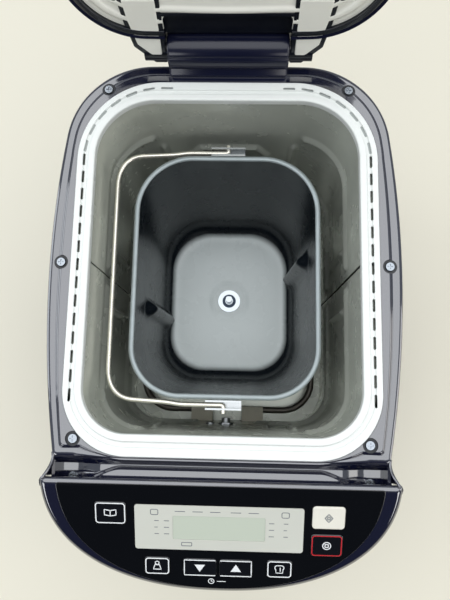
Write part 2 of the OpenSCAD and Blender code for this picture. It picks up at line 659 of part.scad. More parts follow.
module pan_handle() color("#eceae2") translate([0, 0, pivot_z]) for (s = [-1, 1]) {
    // The end that turns in the ear, a round knuckle, the arm, the corner and half of the grip
    translate([0, s * handle_arm_y, 0]) rotate([s > 0 ? -90 : 90, 0, 0]) cylinder(r = wire_r, h = 6.5, $fn = 24);
    translate([0, s * handle_arm_y, 0]) sphere(r = wire_r, $fn = 24);
    translate([-handle_reach + handle_bend, s * handle_arm_y, 0]) rotate([0, 90, 0])
        cylinder(r = wire_r, h = handle_reach - handle_bend, $fn = 24);
    translate([-handle_reach + handle_bend, s * (handle_arm_y - handle_bend), 0])
        rotate([0, 0, s > 0 ? 90 : 180]) rotate_extrude(angle = 90)
        translate([handle_bend, 0]) circle(r = wire_r, $fn = 24);
    translate([-handle_reach, s > 0 ? 0 : handle_bend - handle_arm_y, 0]) rotate([-90, 0, 0])
        cylinder(r = wire_r, h = handle_arm_y - handle_bend, $fn = 24);
}
module kneading_shaft() color("#c4c7c9") {
    translate([0, 0, dog_z + 7]) cylinder(r = shaft_r, h = pan_floor_z + 3.5 - dog_z - 7);
    difference() {
        union() {
            translate([0, 0, pan_floor_z + 3.5]) cylinder(r = free_r, h = 6.5);
            translate([0, 0, pan_floor_z + 10]) cylinder(r = free_r - 0.3, h = kneader_top - pan_floor_z - 10);
        }
        // Flat that keys the kneading blade
        translate([-10, free_r - 0.8, pan_floor_z + 10]) cube([20, 10, 60]);
    }
}
module wing_coupling() color("#9fa3a6") difference() {
    union() {
        translate([0, 0, dog_z + 7]) cylinder(r = 7, h = 8);
        for (s = [-1, 1]) translate([-2, s > 0 ? 6 : -13, dog_z + 7]) cube([4, 7, 8]);
    }
    translate([0, 0, dog_z]) cylinder(r = shaft_r, h = 30);
}

in_row() base_plate();
in_row() rubber_feet();
in_row() base_screws();
in_row() body_shell();
in_row() cord_bush();
in_row() top_frame();
in_row() deck_bezel();
in_row() deck_screws();
in_row() front_trough();
in_row() body_posts();
in_row() vent_rim();
in_row() chamber_front();
in_row() chamber_rear();
in_row() chamber_floor();
in_row() heater_element();
in_row() heater_terminals();
in_row() temperature_sensor();
in_row() thermal_fuse();
in_row() pan_seat();
in_row() bearing_housing();
in_row() drive_belt();
in_row() motor_body();
in_row() motor_bracket();
in_row() motor_capacitor();
in_row() power_board();
in_row() transformer();
in_row() control_board();
in_row() panel_housing();
in_row() panel_film();
in_row() display_plate();
in_row() display_module();
in_row() hinge_cover();
in_row() hinge_pins();
in_row() menu_key();
in_row() start_key();
in_row() stop_key();
in_row() size_key();
in_row() crust_key();
in_row() later_key();
in_row() earlier_key();
in_row() drive_shaft();
in_row() large_pulley();
in_row() drive_dog();
in_row() motor_shaft();
in_row() motor_pulley();
in_row() lid_shell();
in_row() lid_frame();
in_row() lid_plate();
in_row() lid_arms();
in_row() lid_screws();
in_row() pan_body();
in_row() pan_rim();
in_row() handle_brackets();
in_row() pan_base_ring();
in_row() shaft_bush();
in_row() shaft_washer();
in_row() shaft_seal();
in_row() pan_handle();
in_row() kneading_shaft();
in_row() wing_coupling();
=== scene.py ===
"""A bread machine with its lid open: the look of every visible piece, built round the packed frame.

Sizes are in millimetres from the vertical drive axis, with z over the table, until to_row() turns them
into metres in the frame that all the parts share.
"""

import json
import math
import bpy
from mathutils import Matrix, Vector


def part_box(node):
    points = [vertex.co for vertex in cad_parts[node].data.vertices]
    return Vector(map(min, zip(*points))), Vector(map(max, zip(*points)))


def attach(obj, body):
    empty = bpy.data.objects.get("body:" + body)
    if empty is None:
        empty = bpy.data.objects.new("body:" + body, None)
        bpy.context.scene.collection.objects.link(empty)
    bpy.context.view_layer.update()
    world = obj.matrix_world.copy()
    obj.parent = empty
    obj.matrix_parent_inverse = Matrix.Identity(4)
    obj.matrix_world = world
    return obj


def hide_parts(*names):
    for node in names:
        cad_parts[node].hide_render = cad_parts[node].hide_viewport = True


bl_info = {
    "name": "Bread Machine",
    "version": (1, 0, 0),
    "blender": (4, 5, 0),
    "location": "View3D > Sidebar > Bread Machine",
    "description": "Builds the casing, lid, chamber, pan, panel and finishes of a bread machine",
    "category": "Object",
}

import bmesh
import bpy
import numpy as np
from mathutils import Matrix, Vector

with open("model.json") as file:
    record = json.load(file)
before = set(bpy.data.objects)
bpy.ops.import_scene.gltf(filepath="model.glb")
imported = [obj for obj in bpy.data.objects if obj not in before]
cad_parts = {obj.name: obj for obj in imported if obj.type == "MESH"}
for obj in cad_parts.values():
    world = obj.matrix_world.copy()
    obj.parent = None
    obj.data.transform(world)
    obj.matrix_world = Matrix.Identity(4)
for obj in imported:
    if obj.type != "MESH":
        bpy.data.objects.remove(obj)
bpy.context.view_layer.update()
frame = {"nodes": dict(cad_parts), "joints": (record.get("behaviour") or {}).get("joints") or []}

MM = 0.001


def low_mm(node, axis):
    """Lowest place of a frame part along axis 0, 1 or 2, in millimetres."""
    return float(np.array(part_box(node)[0])[axis] / MM)


def high_mm(node, axis):
    """Highest place of a frame part along axis 0, 1 or 2, in millimetres."""
    return float(np.array(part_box(node)[1])[axis] / MM)


# ---------- places read from the frame ----------
AXIS_Y = (low_mm("kneading_shaft", 1) + high_mm("kneading_shaft", 1)) / 2
DECK_Z = high_mm("deck_bezel", 2)
BODY_HW = high_mm("deck_bezel", 0)
BODY_REAR = high_mm("deck_bezel", 1) - AXIS_Y
DECK_FRONT = low_mm("deck_bezel", 1) - AXIS_Y
PANEL_HW = high_mm("panel_housing", 0)
PANEL_FRONT = low_mm("panel_housing", 1) - AXIS_Y
LIP_Y = high_mm("panel_housing", 1) - AXIS_Y
LIP_Z = high_mm("panel_housing", 2)
SHELL_LOW = low_mm("body_shell", 2)
RIM_HW = high_mm("vent_rim", 0)
RIM_HD = (high_mm("vent_rim", 1) - low_mm("vent_rim", 1)) / 2
FLOOR_Z = high_mm("chamber_floor", 2)
PAN_HW = high_mm("pan_body", 0)
PAN_HD = (high_mm("pan_body", 1) - low_mm("pan_body", 1)) / 2
PAN_RIM_Z = high_mm("pan_body", 2)
PAN_FLOOR_Z = low_mm("pan_body", 2) + 1.5
PIVOT_Z = (low_mm("pan_handle", 2) + high_mm("pan_handle", 2)) / 2
WIRE_R = (high_mm("pan_handle", 2) - low_mm("pan_handle", 2)) / 2
HANDLE_X = -low_mm("pan_handle", 0) - WIRE_R
HANDLE_END_Y = high_mm("pan_handle", 1) - AXIS_Y
BARREL_HL = high_mm("hinge_cover", 0)
joints = {j["name"]: j for j in frame["joints"]}
HINGE_Y = joints["lid_hinge"]["pos_m"][1] / MM - AXIS_Y
HINGE_Z = joints["lid_hinge"]["pos_m"][2] / MM
LID_ANGLE = -joints["lid_hinge"]["range_deg"][0]
PRESS = np.array(joints["menu_press"]["axis"])
PANEL_SLOPE = math.degrees(math.asin(PRESS[1]))
MOUTH_HW = RIM_HW - 13.5
MOUTH_HD = RIM_HD - 15.3
SIDE_R = 770.0
SIDE_MID = -5.0
REAR_R = 65.0
REAR_CROWN = 1.4
REAR_CY = BODY_REAR - REAR_CROWN - REAR_R
REAR_LEAN = math.asin((REAR_CY - SIDE_MID) / (SIDE_R - REAR_R))
REAR_CX = BODY_HW - SIDE_R + (SIDE_R - REAR_R) * math.cos(REAR_LEAN)

# ---------- other fixed sizes ----------
CREASE_ANGLE = math.radians(40)
GLAND_R = 7.1
SCREW_WELL_R = 5.2
# Places of the deck's screws on one side
SCREWS = [(90.6, 132.3), (118.2, -2.3), (101.8, -126.5)]
# Length and width of a slot in the vent rim
VENT = (9.2, 1.8)
# How much more the pan is drawn in at its two ends than at its sides
PAN_END_DRAW = 11.0
# Each key's middle across the panel and down its slope, its width and its depth
KEYS = {
    "menu_key": (-74, 25, 22, 17), "start_key": (74, 24.5, 22, 17), "stop_key": (73.5, 45.5, 22, 17),
    "size_key": (-42.5, 65, 18, 14), "crust_key": (42, 65, 18, 14),
    "later_key": (-13, 65.5, 23.5, 14), "earlier_key": (12, 65.5, 23.5, 14),
}
KEY_TOP = 1.0
DISPLAY_S = 35.0
PANEL_MIDDLE = (0, -185)


def hex_linear(text):
    """A '#rrggbb' sRGB colour as linear red, green and blue."""
    values = [int(text[i:i + 2], 16) / 255 for i in (1, 3, 5)]
    return tuple(v / 12.92 if v <= 0.04045 else ((v + 0.055) / 1.055) ** 2.4 for v in values)


def colour_of(name, text):
    """A colour property whose default is the given sRGB hex value."""
    return bpy.props.FloatVectorProperty(
        name=name, description=f"{name} of the machine", subtype="COLOR", size=3, min=0, max=1,
        default=hex_linear(text))


def length_of(name, words, default, low, high):
    """A length in millimetres."""
    return bpy.props.FloatProperty(name=name, description=words, default=default, min=low, max=high,
                                   unit="NONE")


# ---------- curves, worked out as whole arrays ----------
def arc(cx, cy, r, a0, a1, n):
    """n points on the circle of radius r round (cx, cy), from angle a0 to a1 in degrees."""
    a = np.radians(np.linspace(a0, a1, n))
    return np.column_stack([cx + r * np.cos(a), cy + r * np.sin(a)])


def both_sides(half):
    """A right half that runs from front to rear, joined to its mirror image into one closed curve."""
    return np.vstack([half, half[::-1] * (-1, 1)])


def side_x(y):
    """Half width of the bowed side: a circle of radius SIDE_R whose widest point is at SIDE_MID."""
    return BODY_HW - SIDE_R + np.sqrt(SIDE_R ** 2 - (y - SIDE_MID) ** 2)


def even(curve, n):
    """The closed curve as n points a constant distance apart, starting at the rear's middle."""
    loop = np.vstack([curve, curve[:1]])
    run = np.concatenate([[0], np.cumsum(np.hypot(*np.diff(loop, axis=0).T))])
    start = run[np.argmax(curve[:, 1] - 0.001 * np.abs(curve[:, 0]))]
    at = (start + np.linspace(0, run[-1], n, endpoint=False)) % run[-1]
    return np.column_stack([np.interp(at, run, loop[:, 0]), np.interp(at, run, loop[:, 1])])


def directions(curve):
    """Direction of each point of a curve, seen from the drive axis."""
    return np.arctan2(curve[:, 1], curve[:, 0])


def at_angles(curve, angles):
    """Points of a closed curve in the given directions from the drive axis: radius as a function of angle."""
    points = even(curve, 4000)
    a = directions(points)
    order = np.argsort(a)
    radius = np.interp(angles, a[order], np.hypot(*points[order].T), period=2 * math.pi)
    return np.column_stack([radius * np.cos(angles), radius * np.sin(angles)])


def outward(curve):
    """Unit normals of a closed counter-clockwise curve, from the difference of each point's neighbours."""
    along = np.roll(curve, -1, axis=0) - np.roll(curve, 1, axis=0)
    normal = np.column_stack([along[:, 1], -along[:, 0]])
    return normal / np.maximum(np.linalg.norm(normal, axis=1, keepdims=True), 1e-9)


def oblong(hw, hd, front_r, rear_r, n=24):
    """Rounded rectangle 2 hw by 2 hd with its own corner radius at the front and at the rear."""
    return both_sides(np.vstack([
        arc(hw - front_r, -hd + front_r, front_r, -90, 0, n),
        arc(hw - rear_r, hd - rear_r, rear_r, 0, 90, n)]))


def side_and_rear(inset, start):
    """Right side from y = start to the rear's middle, set in: the bowed side, a corner of radius REAR_R
    tangent to it, and a slightly crowned rear edge."""
    y = np.linspace(start, REAR_CY - 5, 60)
    return np.vstack([
        np.column_stack([side_x(y) - inset, y]),
        arc(REAR_CX, REAR_CY, REAR_R - inset, math.degrees(REAR_LEAN), 88, 40),
        [[REAR_CX * 0.6, BODY_REAR - 0.9 - inset], [REAR_CX * 0.3, BODY_REAR - 0.3 - inset],
         [0.5, BODY_REAR - inset]]])


def deck_curve():
    """Outline of the deck: bowed sides, round rear corners, and a straight front between small corners."""
    r = 3.0
    front = arc(float(side_x(DECK_FRONT + r)) - r, DECK_FRONT + r, r, -90, -8, 10)
    return both_sides(np.vstack([front, side_and_rear(0, DECK_FRONT + r + 3)]))


def bow(a, b, mid, power, n=60):
    """Right half of a superellipse front: |x / a| ** power + |(y - mid) / b| ** power = 1."""
    t = np.radians(np.linspace(0.5, 90, n))
    return np.column_stack([a * np.sin(t) ** (2 / power), mid - b * np.cos(t) ** (2 / power)])


def smooth(x, low, high):
    """0 below low, 1 above high, and 3 t^2 - 2 t^3 between."""
    t = np.clip((x - low) / (high - low), 0, 1)
    return t * t * (3 - 2 * t)


def rounded_line(corners, steps=6):
    """An open line through corners (a, b, r). Each corner becomes the quadratic curve that leaves the line r
    before it and joins it again r after: (1 - t)^2 p + 2 t (1 - t) corner + t^2 q."""
    points = np.array([c[:2] for c in corners], float)
    t = np.linspace(0, 1, steps)[:, None]
    line = [points[:1]]
    for i in range(1, len(points) - 1):
        reach = corners[i][2]
        back = points[i - 1] - points[i]
        on = points[i + 1] - points[i]
        p = points[i] + back / np.linalg.norm(back) * min(reach, 0.45 * np.linalg.norm(back))
        q = points[i] + on / np.linalg.norm(on) * min(reach, 0.45 * np.linalg.norm(on))
        line.append((1 - t) ** 2 * p + 2 * t * (1 - t) * points[i] + t ** 2 * q if reach else points[i:i + 1])
    line.append(points[-1:])
    return np.vstack(line)


def carry(line, curve):
    """A profile (inset, height) carried along a closed curve: each point moves inwards along the normal."""
    inset = line[:, 0][:, None, None]
    plan = curve[None] - inset * outward(curve)[None]
    height = np.broadcast_to(line[:, 1][:, None, None], plan.shape[:2] + (1,))
    return np.concatenate([plan, height], axis=2)


def cap_rings(ring, steps=8, rise=0.0, centre=None):
    """Rings that shrink a closed ring towards its centre, scaled by 1 - t, with a rise of 1 - (1 - t)^2."""
    middle = ring.mean(axis=0) if centre is None else np.array([*centre, ring[:, 2].mean()])
    t = np.linspace(0, 0.94, steps + 1)[1:, None, None]
    rings = middle + (ring[None] - middle) * (1 - t)
    rings[..., 2] += rise * (1 - (1 - t[..., 0]) ** 2)
    return rings


# ---------- meshes ----------
def to_row(points):
    """Millimetres round the drive axis as metres in the shared frame."""
    return (np.asarray(points, float) + (0, AXIS_Y, 0)) * MM


def turned_x(points, degrees):
    """Points turned about the x axis."""
    a = math.radians(degrees)
    turn = np.array([[1, 0, 0], [0, math.cos(a), -math.sin(a)], [0, math.sin(a), math.cos(a)]])
    return points @ turn.T


def opened(points):
    """Points of the closed lid, turned by the lid's angle about the hinge axis."""
    pivot = np.array([0, HINGE_Y, HINGE_Z])
    return turned_x(np.asarray(points, float) - pivot, -LID_ANGLE) + pivot


def on_panel(points):
    """Panel coordinates (across, up the slope from the lip, out of the surface) as places on the machine."""
    return turned_x(np.asarray(points, float), PANEL_SLOPE) + (0, LIP_Y, LIP_Z)


def mesh_from(name, vertices, faces):
    """A new object with its place in its mesh: doubles merged, smooth, and sharp where faces meet at over
    40 degrees."""
    mesh = bpy.data.meshes.new(name)
    mesh.from_pydata(to_row(vertices).tolist(), [], faces.tolist() if hasattr(faces, "tolist") else faces)
    piece = bpy.data.objects.new(name, mesh)
    bpy.context.scene.collection.objects.link(piece)
    tidy(piece)
    return piece


def tidy(piece, merge=True):
    """Merges doubles and drops the faces that this closes, then shades smooth with sharp creases."""
    work = bmesh.new()
    work.from_mesh(piece.data)
    if merge:
        bmesh.ops.remove_doubles(work, verts=work.verts, dist=2e-6)
        bmesh.ops.dissolve_degenerate(work, edges=work.edges, dist=1e-7)
        loose = [v for v in work.verts if not v.link_faces]
        bmesh.ops.delete(work, geom=loose, context="VERTS")
    work.to_mesh(piece.data)
    work.free()
    piece.data.polygons.foreach_set("use_smooth", np.ones(len(piece.data.polygons), bool))
    piece.data.set_sharp_from_angle(angle=CREASE_ANGLE)
    piece.data.update()


def quads(rows, columns, wrap_rows=False, wrap_columns=True):
    """Corner numbers of the quads between neighbouring rows and columns of a grid, facing the side where rows
    run up while columns run counter-clockwise."""
    r = np.arange(rows if wrap_rows else rows - 1)[:, None]
    c = np.arange(columns if wrap_columns else columns - 1)[None]
    r2, c2 = (r + 1) % rows, (c + 1) % columns
    return np.stack([r * columns + c, r * columns + c2, r2 * columns + c2, r2 * columns + c], axis=-1)


def surface(name, rings, wrap_rows=False, wrap_columns=True, flip=False, lid=False):
    """A grid surface from rings[row, column] = (x, y, z). lid closes the last row with one face."""
    rings = np.asarray(rings, float)
    rows, columns = rings.shape[:2]
    faces = quads(rows, columns, wrap_rows, wrap_columns).reshape(-1, 4).tolist()
    if lid:
        faces.append(list(range((rows - 1) * columns, rows * columns)))
    if flip:
        faces = [face[::-1] for face in faces]
    return mesh_from(name, rings.reshape(-1, 3), faces)


def thicken(piece, thickness):
    """Gives a surface its wall, inwards from its faces, with the edges closed."""
    wall = piece.modifiers.new("wall", "SOLIDIFY")
    wall.thickness = thickness * MM
    wall.offset = -1.0
    wall.use_even_offset = True
    return bake(piece)


def bake(piece):
    """Puts the result of the piece's modifiers into its mesh."""
    graph = bpy.context.evaluated_depsgraph_get()
    graph.update()
    mesh = bpy.data.meshes.new_from_object(piece.evaluated_get(graph))
    piece.modifiers.clear()
    old = piece.data
    piece.data = mesh
    bpy.data.meshes.remove(old)
    return piece


def cut(piece, cutter):
    """Takes the cutter's closed shape out of the piece."""
    saw = piece.modifiers.new("cut", "BOOLEAN")
    saw.operation = "DIFFERENCE"
    saw.solver = "MANIFOLD"
    saw.object = cutter
    bake(piece)
    bpy.data.objects.remove(cutter)
    tidy(piece, merge=False)
    return piece


def prisms(name, outlines, low, high, place=None):
    """Closed prisms with the given outlines, between two heights, as one object: a cutter or a group of
    flat marks."""
    vertices, faces = [], []
    for outline in outlines:
        outline = np.asarray(outline, float)
        n = len(outline)
        start = sum(len(v) for v in vertices)
        vertices.append(np.vstack([np.column_stack([outline, np.full(n, h)]) for h in (low, high)]))
        side = quads(2, n).reshape(-1, 4) + start
        faces += side.tolist()
        faces += [list(range(start + n - 1, start - 1, -1)), list(range(start + n, start + 2 * n))]
    points = np.vstack(vertices)
    return mesh_from(name, place(points) if place else points, faces)


def tube(name, path, radius, sides=16):
    """A round wire along an open path, with closed ends. Its frame is parallel carried from one point to
    the next."""
    path = np.asarray(path, float)
    along = np.gradient(path, axis=0)
    along /= np.linalg.norm(along, axis=1, keepdims=True)
    up = np.array([0.0, 0.0, 1.0])
    side = np.cross(along, up)
    side /= np.maximum(np.linalg.norm(side, axis=1, keepdims=True), 1e-9)
    over = np.cross(side, along)
    a = np.linspace(0, 2 * math.pi, sides, endpoint=False)[None, :, None]
    rings = path[:, None] + radius * (np.cos(a) * side[:, None] + np.sin(a) * over[:, None])
    ends = [np.broadcast_to(path[i], (1, sides, 3)) for i in (0, -1)]
    return surface(name, np.concatenate([ends[0], rings, ends[1]]))


def settle(piece, body, slot, material, *nodes):
    """Gives a finished piece its material, its body, the slot of its finish and the frame parts that it
    stands for."""
    piece.data.materials.clear()
    piece.data.materials.append(material)
    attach(piece, body)
    if nodes:
        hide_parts(*nodes)
    return piece


# ---------- materials ----------
def add(tree, kind, settings=None, links=None):
    """Adds a node of a kind, gives it its properties and input values, and links its named inputs to
    sockets."""
    node = tree.nodes.new(kind)
    for key, value in (settings or {}).items():
        if key in node.inputs:
            node.inputs[key].default_value = value
        else:
            setattr(node, key, value)
    for key, socket in (links or {}).items():
        tree.links.new(socket, node.inputs[key])
    return node


def shade(colour, amount):
    """A linear colour made lighter or darker by a factor, as four channels."""
    return tuple(min(1.0, c * amount) for c in colour) + (1.0,)


def make_material(name, colour, rough, metallic=0.0, ior=1.5, coat=0.0, coat_rough=0.05, cloud=40.0,
                  spread=0.08,
                  rough_spread=0.06, grain=0.6, relief=0.02, stretch=(1, 1, 1), low=None):
    """A Principled surface with a slow change of tone, a roughness that follows it, and a fine relief.

    cloud and grain are feature sizes in millimetres, and relief is a depth in millimetres. stretch scales
    the relief's coordinates, so that it draws out along an axis. low holds two heights in metres and the
    colour that a rubbed surface has below them, where the tone changes evenly from one to the other."""
    material = bpy.data.materials.get(name)
    if material:
        return material
    material = bpy.data.materials.new(name)
    material.use_nodes = True
    tree = material.node_tree
    tree.nodes.clear()
    place = add(tree, "ShaderNodeTexCoord").outputs["Object"]
    slow = add(tree, "ShaderNodeTexNoise", {"Scale": 1000 / cloud, "Detail": 3.0, "Roughness": 0.55},
               {"Vector": place}).outputs["Fac"]
    tone = add(tree, "ShaderNodeMix", {"data_type": "RGBA", "clamp_factor": True}, {"Factor": slow})
    tone.inputs[6].default_value = shade(colour, 1 - spread)
    tone.inputs[7].default_value = shade(colour, 1 + spread)
    tone = tone.outputs[2]
    # The colour below the two heights is painted light: a painted reflection that makes the pan's floor pale.
    if low:
        height = add(tree, "ShaderNodeSeparateXYZ", links={"Vector": place}).outputs["Z"]
        over = add(tree, "ShaderNodeMapRange", {"From Min": low[0], "From Max": low[1]}, {"Value": height})
        painted_floor_sheen = add(tree, "ShaderNodeMix", {"data_type": "RGBA"}, {"Factor": over.outputs["Result"]})
        painted_floor_sheen.inputs[6].default_value = shade(low[2], 1)
        tree.links.new(tone, painted_floor_sheen.inputs[7])
        tone = painted_floor_sheen.outputs[2]
    blur = add(tree, "ShaderNodeMapRange", {"To Min": max(0.02, rough - rough_spread),
                                            "To Max": rough + rough_spread},
               {"Value": slow}).outputs["Result"]
    drawn = add(tree, "ShaderNodeMapping", {"Scale": stretch}, {"Vector": place}).outputs["Vector"]
    fine = add(tree, "ShaderNodeTexNoise", {"Scale": 1000 / grain, "Detail": 2.0},
               {"Vector": drawn}).outputs["Fac"]
    normal = add(tree, "ShaderNodeBump", {"Strength": 0.6, "Distance": relief * MM},
                 {"Height": fine}).outputs["Normal"]
    skin = add(tree, "ShaderNodeBsdfPrincipled",
               {"Metallic": metallic, "IOR": ior, "Coat Weight": coat, "Coat Roughness": coat_rough},
               {"Base Color": tone, "Roughness": blur, "Normal": normal})
    add(tree, "ShaderNodeOutputMaterial", links={"Surface": skin.outputs["BSDF"]})
    return material


def finish(name):
    """The material of a finish, made when it is first asked for."""
    look = bpy.context.scene.bread_machine_colours
    recipes = {
        # Mirror-moulded ABS in dark navy: black in itself, blue-grey where it meets the ceiling's light
        "gloss_navy_abs": dict(colour=look.navy, rough=0.08, ior=2.3, coat=0.6, coat_rough=0.04, grain=8,
                               relief=0.01,
                               rough_spread=0.03),
        # The same ABS on the upright walls and the lid's dome: deep navy with a clear, thin shine
        "polished_navy_abs": dict(colour=look.navy, rough=0.14, ior=1.5, coat=0.5, coat_rough=0.05, grain=8,
                                  relief=0.01,
                                  rough_spread=0.04),
        # The same ABS on the hinge's barrel, satin from handling
        "satin_navy_abs": dict(colour=look.navy, rough=0.2, ior=1.5, grain=7, relief=0.012,
                               rough_spread=0.05),
        # Moulded ABS with a fine spark-eroded grain: soft, even and near black
        "satin_black_abs": dict(colour=look.black, rough=0.42, grain=0.9, relief=0.03),
        # Natural rubber: matt, faintly mottled
        "moulded_rubber": dict(colour=hex_linear("#17181a"), rough=0.75, grain=1.2, relief=0.05, cloud=12),
        # Zinc-plated screw steel: bright with cool stains
        "zinc_plated_steel": dict(colour=hex_linear("#9ca2a9"), rough=0.26, metallic=1, cloud=3, spread=0.12,
                                  grain=0.6),
        # Glass-filled frame plastic: dull dark grey
        "filled_nylon": dict(colour=hex_linear("#3a3c40"), rough=0.6, grain=1.0, relief=0.05),
        # Heat-proof white resin of the rim: milky, satin, with the faintest flow marks
        "white_heatproof_resin": dict(colour=look.rim, rough=0.30, coat=0.2, coat_rough=0.15, grain=1.1,
                                      relief=0.012,
                                      cloud=60, spread=0.03),
        # The same white resin at the bottom of the blind slots, painted grey as painted shade of the slots'
        # hollows
        "painted_shade_resin": dict(colour=hex_linear("#a3a8a6"), rough=0.5, grain=1.1, relief=0.02, cloud=20,
                           spread=0.03),
        # Hot-dip aluminised steel sheet: grey-green satin with soft clouds and drawing lines along its height
        "aluminised_sheet": dict(colour=look.sheet, rough=0.26, metallic=0.3, ior=1.6, grain=1.6, relief=0.02,
                                 stretch=(1, 1, 0.12), cloud=30, spread=0.12, rough_spread=0.1),
        # Oxidised stainless sheath of the heater: brown-grey, dull
        "oxidised_sheath": dict(colour=hex_linear("#6d6862"), rough=0.45, metallic=0.8, cloud=9, spread=0.18),
        # Unglazed steatite: cream, chalky, with a sandy grain
        "steatite_ceramic": dict(colour=hex_linear("#ddd8c6"), rough=0.6, grain=0.7, relief=0.05, cloud=7,
                                 spread=0.06),
        # Die-cast aluminium: pale grey with a pebbled skin
        "cast_aluminium": dict(colour=hex_linear("#a4a7aa"), rough=0.4, metallic=0.9, grain=1.4, relief=0.06,
                               cloud=8),
        # Ribbed belt rubber: matt black
        "belt_rubber": dict(colour=hex_linear("#202124"), rough=0.7, grain=1.0, relief=0.05, cloud=15),
        # Punched motor steel: grey, lightly oiled
        "lamination_steel": dict(colour=hex_linear("#9a9da0"), rough=0.32, metallic=1, grain=0.7,
                                 stretch=(1, 1, 9)),
        # Acetal pulleys: waxy off-white
        "acetal": dict(colour=hex_linear("#e4e2d8"), rough=0.35, grain=1.0, relief=0.01, cloud=20,
                       spread=0.03),
        # Phenolic paper board: tan with fibres
        "phenolic_board": dict(colour=hex_linear("#8a6b3c"), rough=0.5, grain=0.8, stretch=(1, 8, 1),
                               cloud=6),
        # Glass-epoxy board under green solder mask
        "solder_mask": dict(colour=hex_linear("#2f6a3e"), rough=0.3, grain=0.9, cloud=8, spread=0.1),
        # Hard-coated black film over the panel: a clean, deep mirror
        "hard_coated_film": dict(colour=look.film, rough=0.05, ior=1.6, coat=0.6, coat_rough=0.03, grain=12,
                                 relief=0.006, rough_spread=0.02),
        # Silver-printed display surround: pale champagne, pearly
        "silver_print": dict(colour=hex_linear("#d3d4ca"), rough=0.3, metallic=0.1, grain=0.6, relief=0.003,
                             cloud=60, spread=0.03, rough_spread=0.02),
        # Reflective liquid-crystal glass, switched off: green-grey
        "display_glass": dict(colour=hex_linear("#8f9d88"), rough=0.12, coat=0.4, grain=0.9, relief=0.004,
                              cloud=25),
        # Black domed key tops under the same hard coat
        "gloss_key": dict(colour=hex_linear("#0f1116"), rough=0.09, ior=1.52, coat=0.4, grain=5,
                          relief=0.006),
        # Solid cream key top, screen printed
        "cream_key": dict(colour=hex_linear("#e3e0d4"), rough=0.3, grain=0.8, relief=0.008, cloud=9,
                          spread=0.03),
        # Opaque white screen ink: very slightly raised and matt
        "white_ink": dict(colour=hex_linear("#e9ebec"), rough=0.45, grain=0.5, relief=0.01, cloud=5,
                          spread=0.04),
        # Red screen ink round the stop key
        "red_ink": dict(colour=hex_linear("#b8242c"), rough=0.4, grain=0.5, relief=0.01, cloud=5,
                        spread=0.05),
        # Grey screen ink of the display's scales
        "grey_ink": dict(colour=hex_linear("#6f7478"), rough=0.5, grain=0.5, relief=0.01, cloud=5,
                         spread=0.05),
        # Dark heat-proof frame of the lid
        "lid_frame_resin": dict(colour=hex_linear("#10131c"), rough=0.22, coat=0.2, grain=1.0, relief=0.02),
        # Fluorocarbon-painted liner of the lid: cream-grey, satin, slightly dimpled
        "painted_liner": dict(colour=look.liner, rough=0.34, metallic=0.0, grain=1.3, relief=0.03, cloud=35,
                              spread=0.04),
        # Sprayed non-stick coat over cast aluminium: charcoal and satin, with a pale colour painted on the
        # floor as a painted reflection of the ceiling's light
        "non_stick_coat": dict(colour=look.pan, rough=0.27, ior=1.5, grain=0.9, relief=0.012, cloud=30,
                               spread=0.15,
                               rough_spread=0.06, low=((PAN_FLOOR_Z + 0.7) * MM, (PAN_FLOOR_Z + 3.6) * MM,
                                                       hex_linear("#d6dfde"))),
        # Turned edge of the pan, its coat rubbed to a cool grey
        "rubbed_edge": dict(colour=hex_linear("#9aa3a5"), rough=0.35, metallic=0.4, grain=1.0, relief=0.03,
                            cloud=12,
                            spread=0.18),
        # Stainless strip of the handle's brackets
        "stainless_strip": dict(colour=hex_linear("#b4b7b8"), rough=0.25, metallic=1, grain=0.7,
                                stretch=(1, 6, 1)),
        # Fluororubber lip seal: dark blue
        "seal_rubber": dict(colour=hex_linear("#22304a"), rough=0.5, grain=0.6, relief=0.02, cloud=4),
        # Bright-drawn stainless wire of the handle: creamy highlights along its length
        "bright_wire": dict(colour=hex_linear("#e6e2d6"), rough=0.2, metallic=0.75, grain=0.9, relief=0.01,
                            cloud=14,
                            spread=0.05),
        # Ground shaft steel: bright rings from grinding
        "ground_steel": dict(colour=hex_linear("#b2b8bc"), rough=0.18, metallic=1, grain=0.5,
                             stretch=(1, 1, 10), cloud=4),
    }
    return make_material(name, **recipes[name])


# Finish of each frame part that keeps its own mesh
PART_FINISH = {
    "satin_black_abs": ["base_plate", "cord_bush", "body_posts"],
    "moulded_rubber": ["rubber_feet"],
    "zinc_plated_steel": ["base_screws", "deck_screws", "lid_screws", "hinge_pins"],
    "filled_nylon": ["top_frame"],
    "aluminised_sheet": ["chamber_floor", "pan_seat"],
    "oxidised_sheath": ["heater_element"],
    "steatite_ceramic": ["heater_terminals"],
    "lamination_steel": ["temperature_sensor", "thermal_fuse", "motor_body", "motor_bracket", "transformer"],
    "cast_aluminium": ["bearing_housing", "drive_dog", "shaft_bush", "pan_base_ring", "wing_coupling"],
    "belt_rubber": ["drive_belt"],
    "acetal": ["large_pulley", "motor_pulley", "motor_capacitor"],
    "phenolic_board": ["power_board"],
    "solder_mask": ["control_board"],
    "silver_print": ["display_plate"],
    "display_glass": ["display_module"],
    "lid_frame_resin": ["lid_arms"],
    "stainless_strip": ["handle_brackets"],
    "seal_rubber": ["shaft_seal"],
    "ground_steel": ["drive_shaft", "motor_shaft", "kneading_shaft", "shaft_washer"],
}


# ---------- values a user can change ----------
class BreadMachineColours(bpy.types.PropertyGroup):
    """Main colours."""
    navy: colour_of("Casing", "#12152a")
    black: colour_of("Base", "#1d1f24")
    rim: colour_of("Vent rim", "#e6e9e6")
    sheet: colour_of("Chamber sheet", "#d6dacf")
    film: colour_of("Panel film", "#07090d")
    liner: colour_of("Lid liner", "#efeee4")
    pan: colour_of("Pan coating", "#0f151b")
    floor: colour_of("Floor", "#e4dfce")


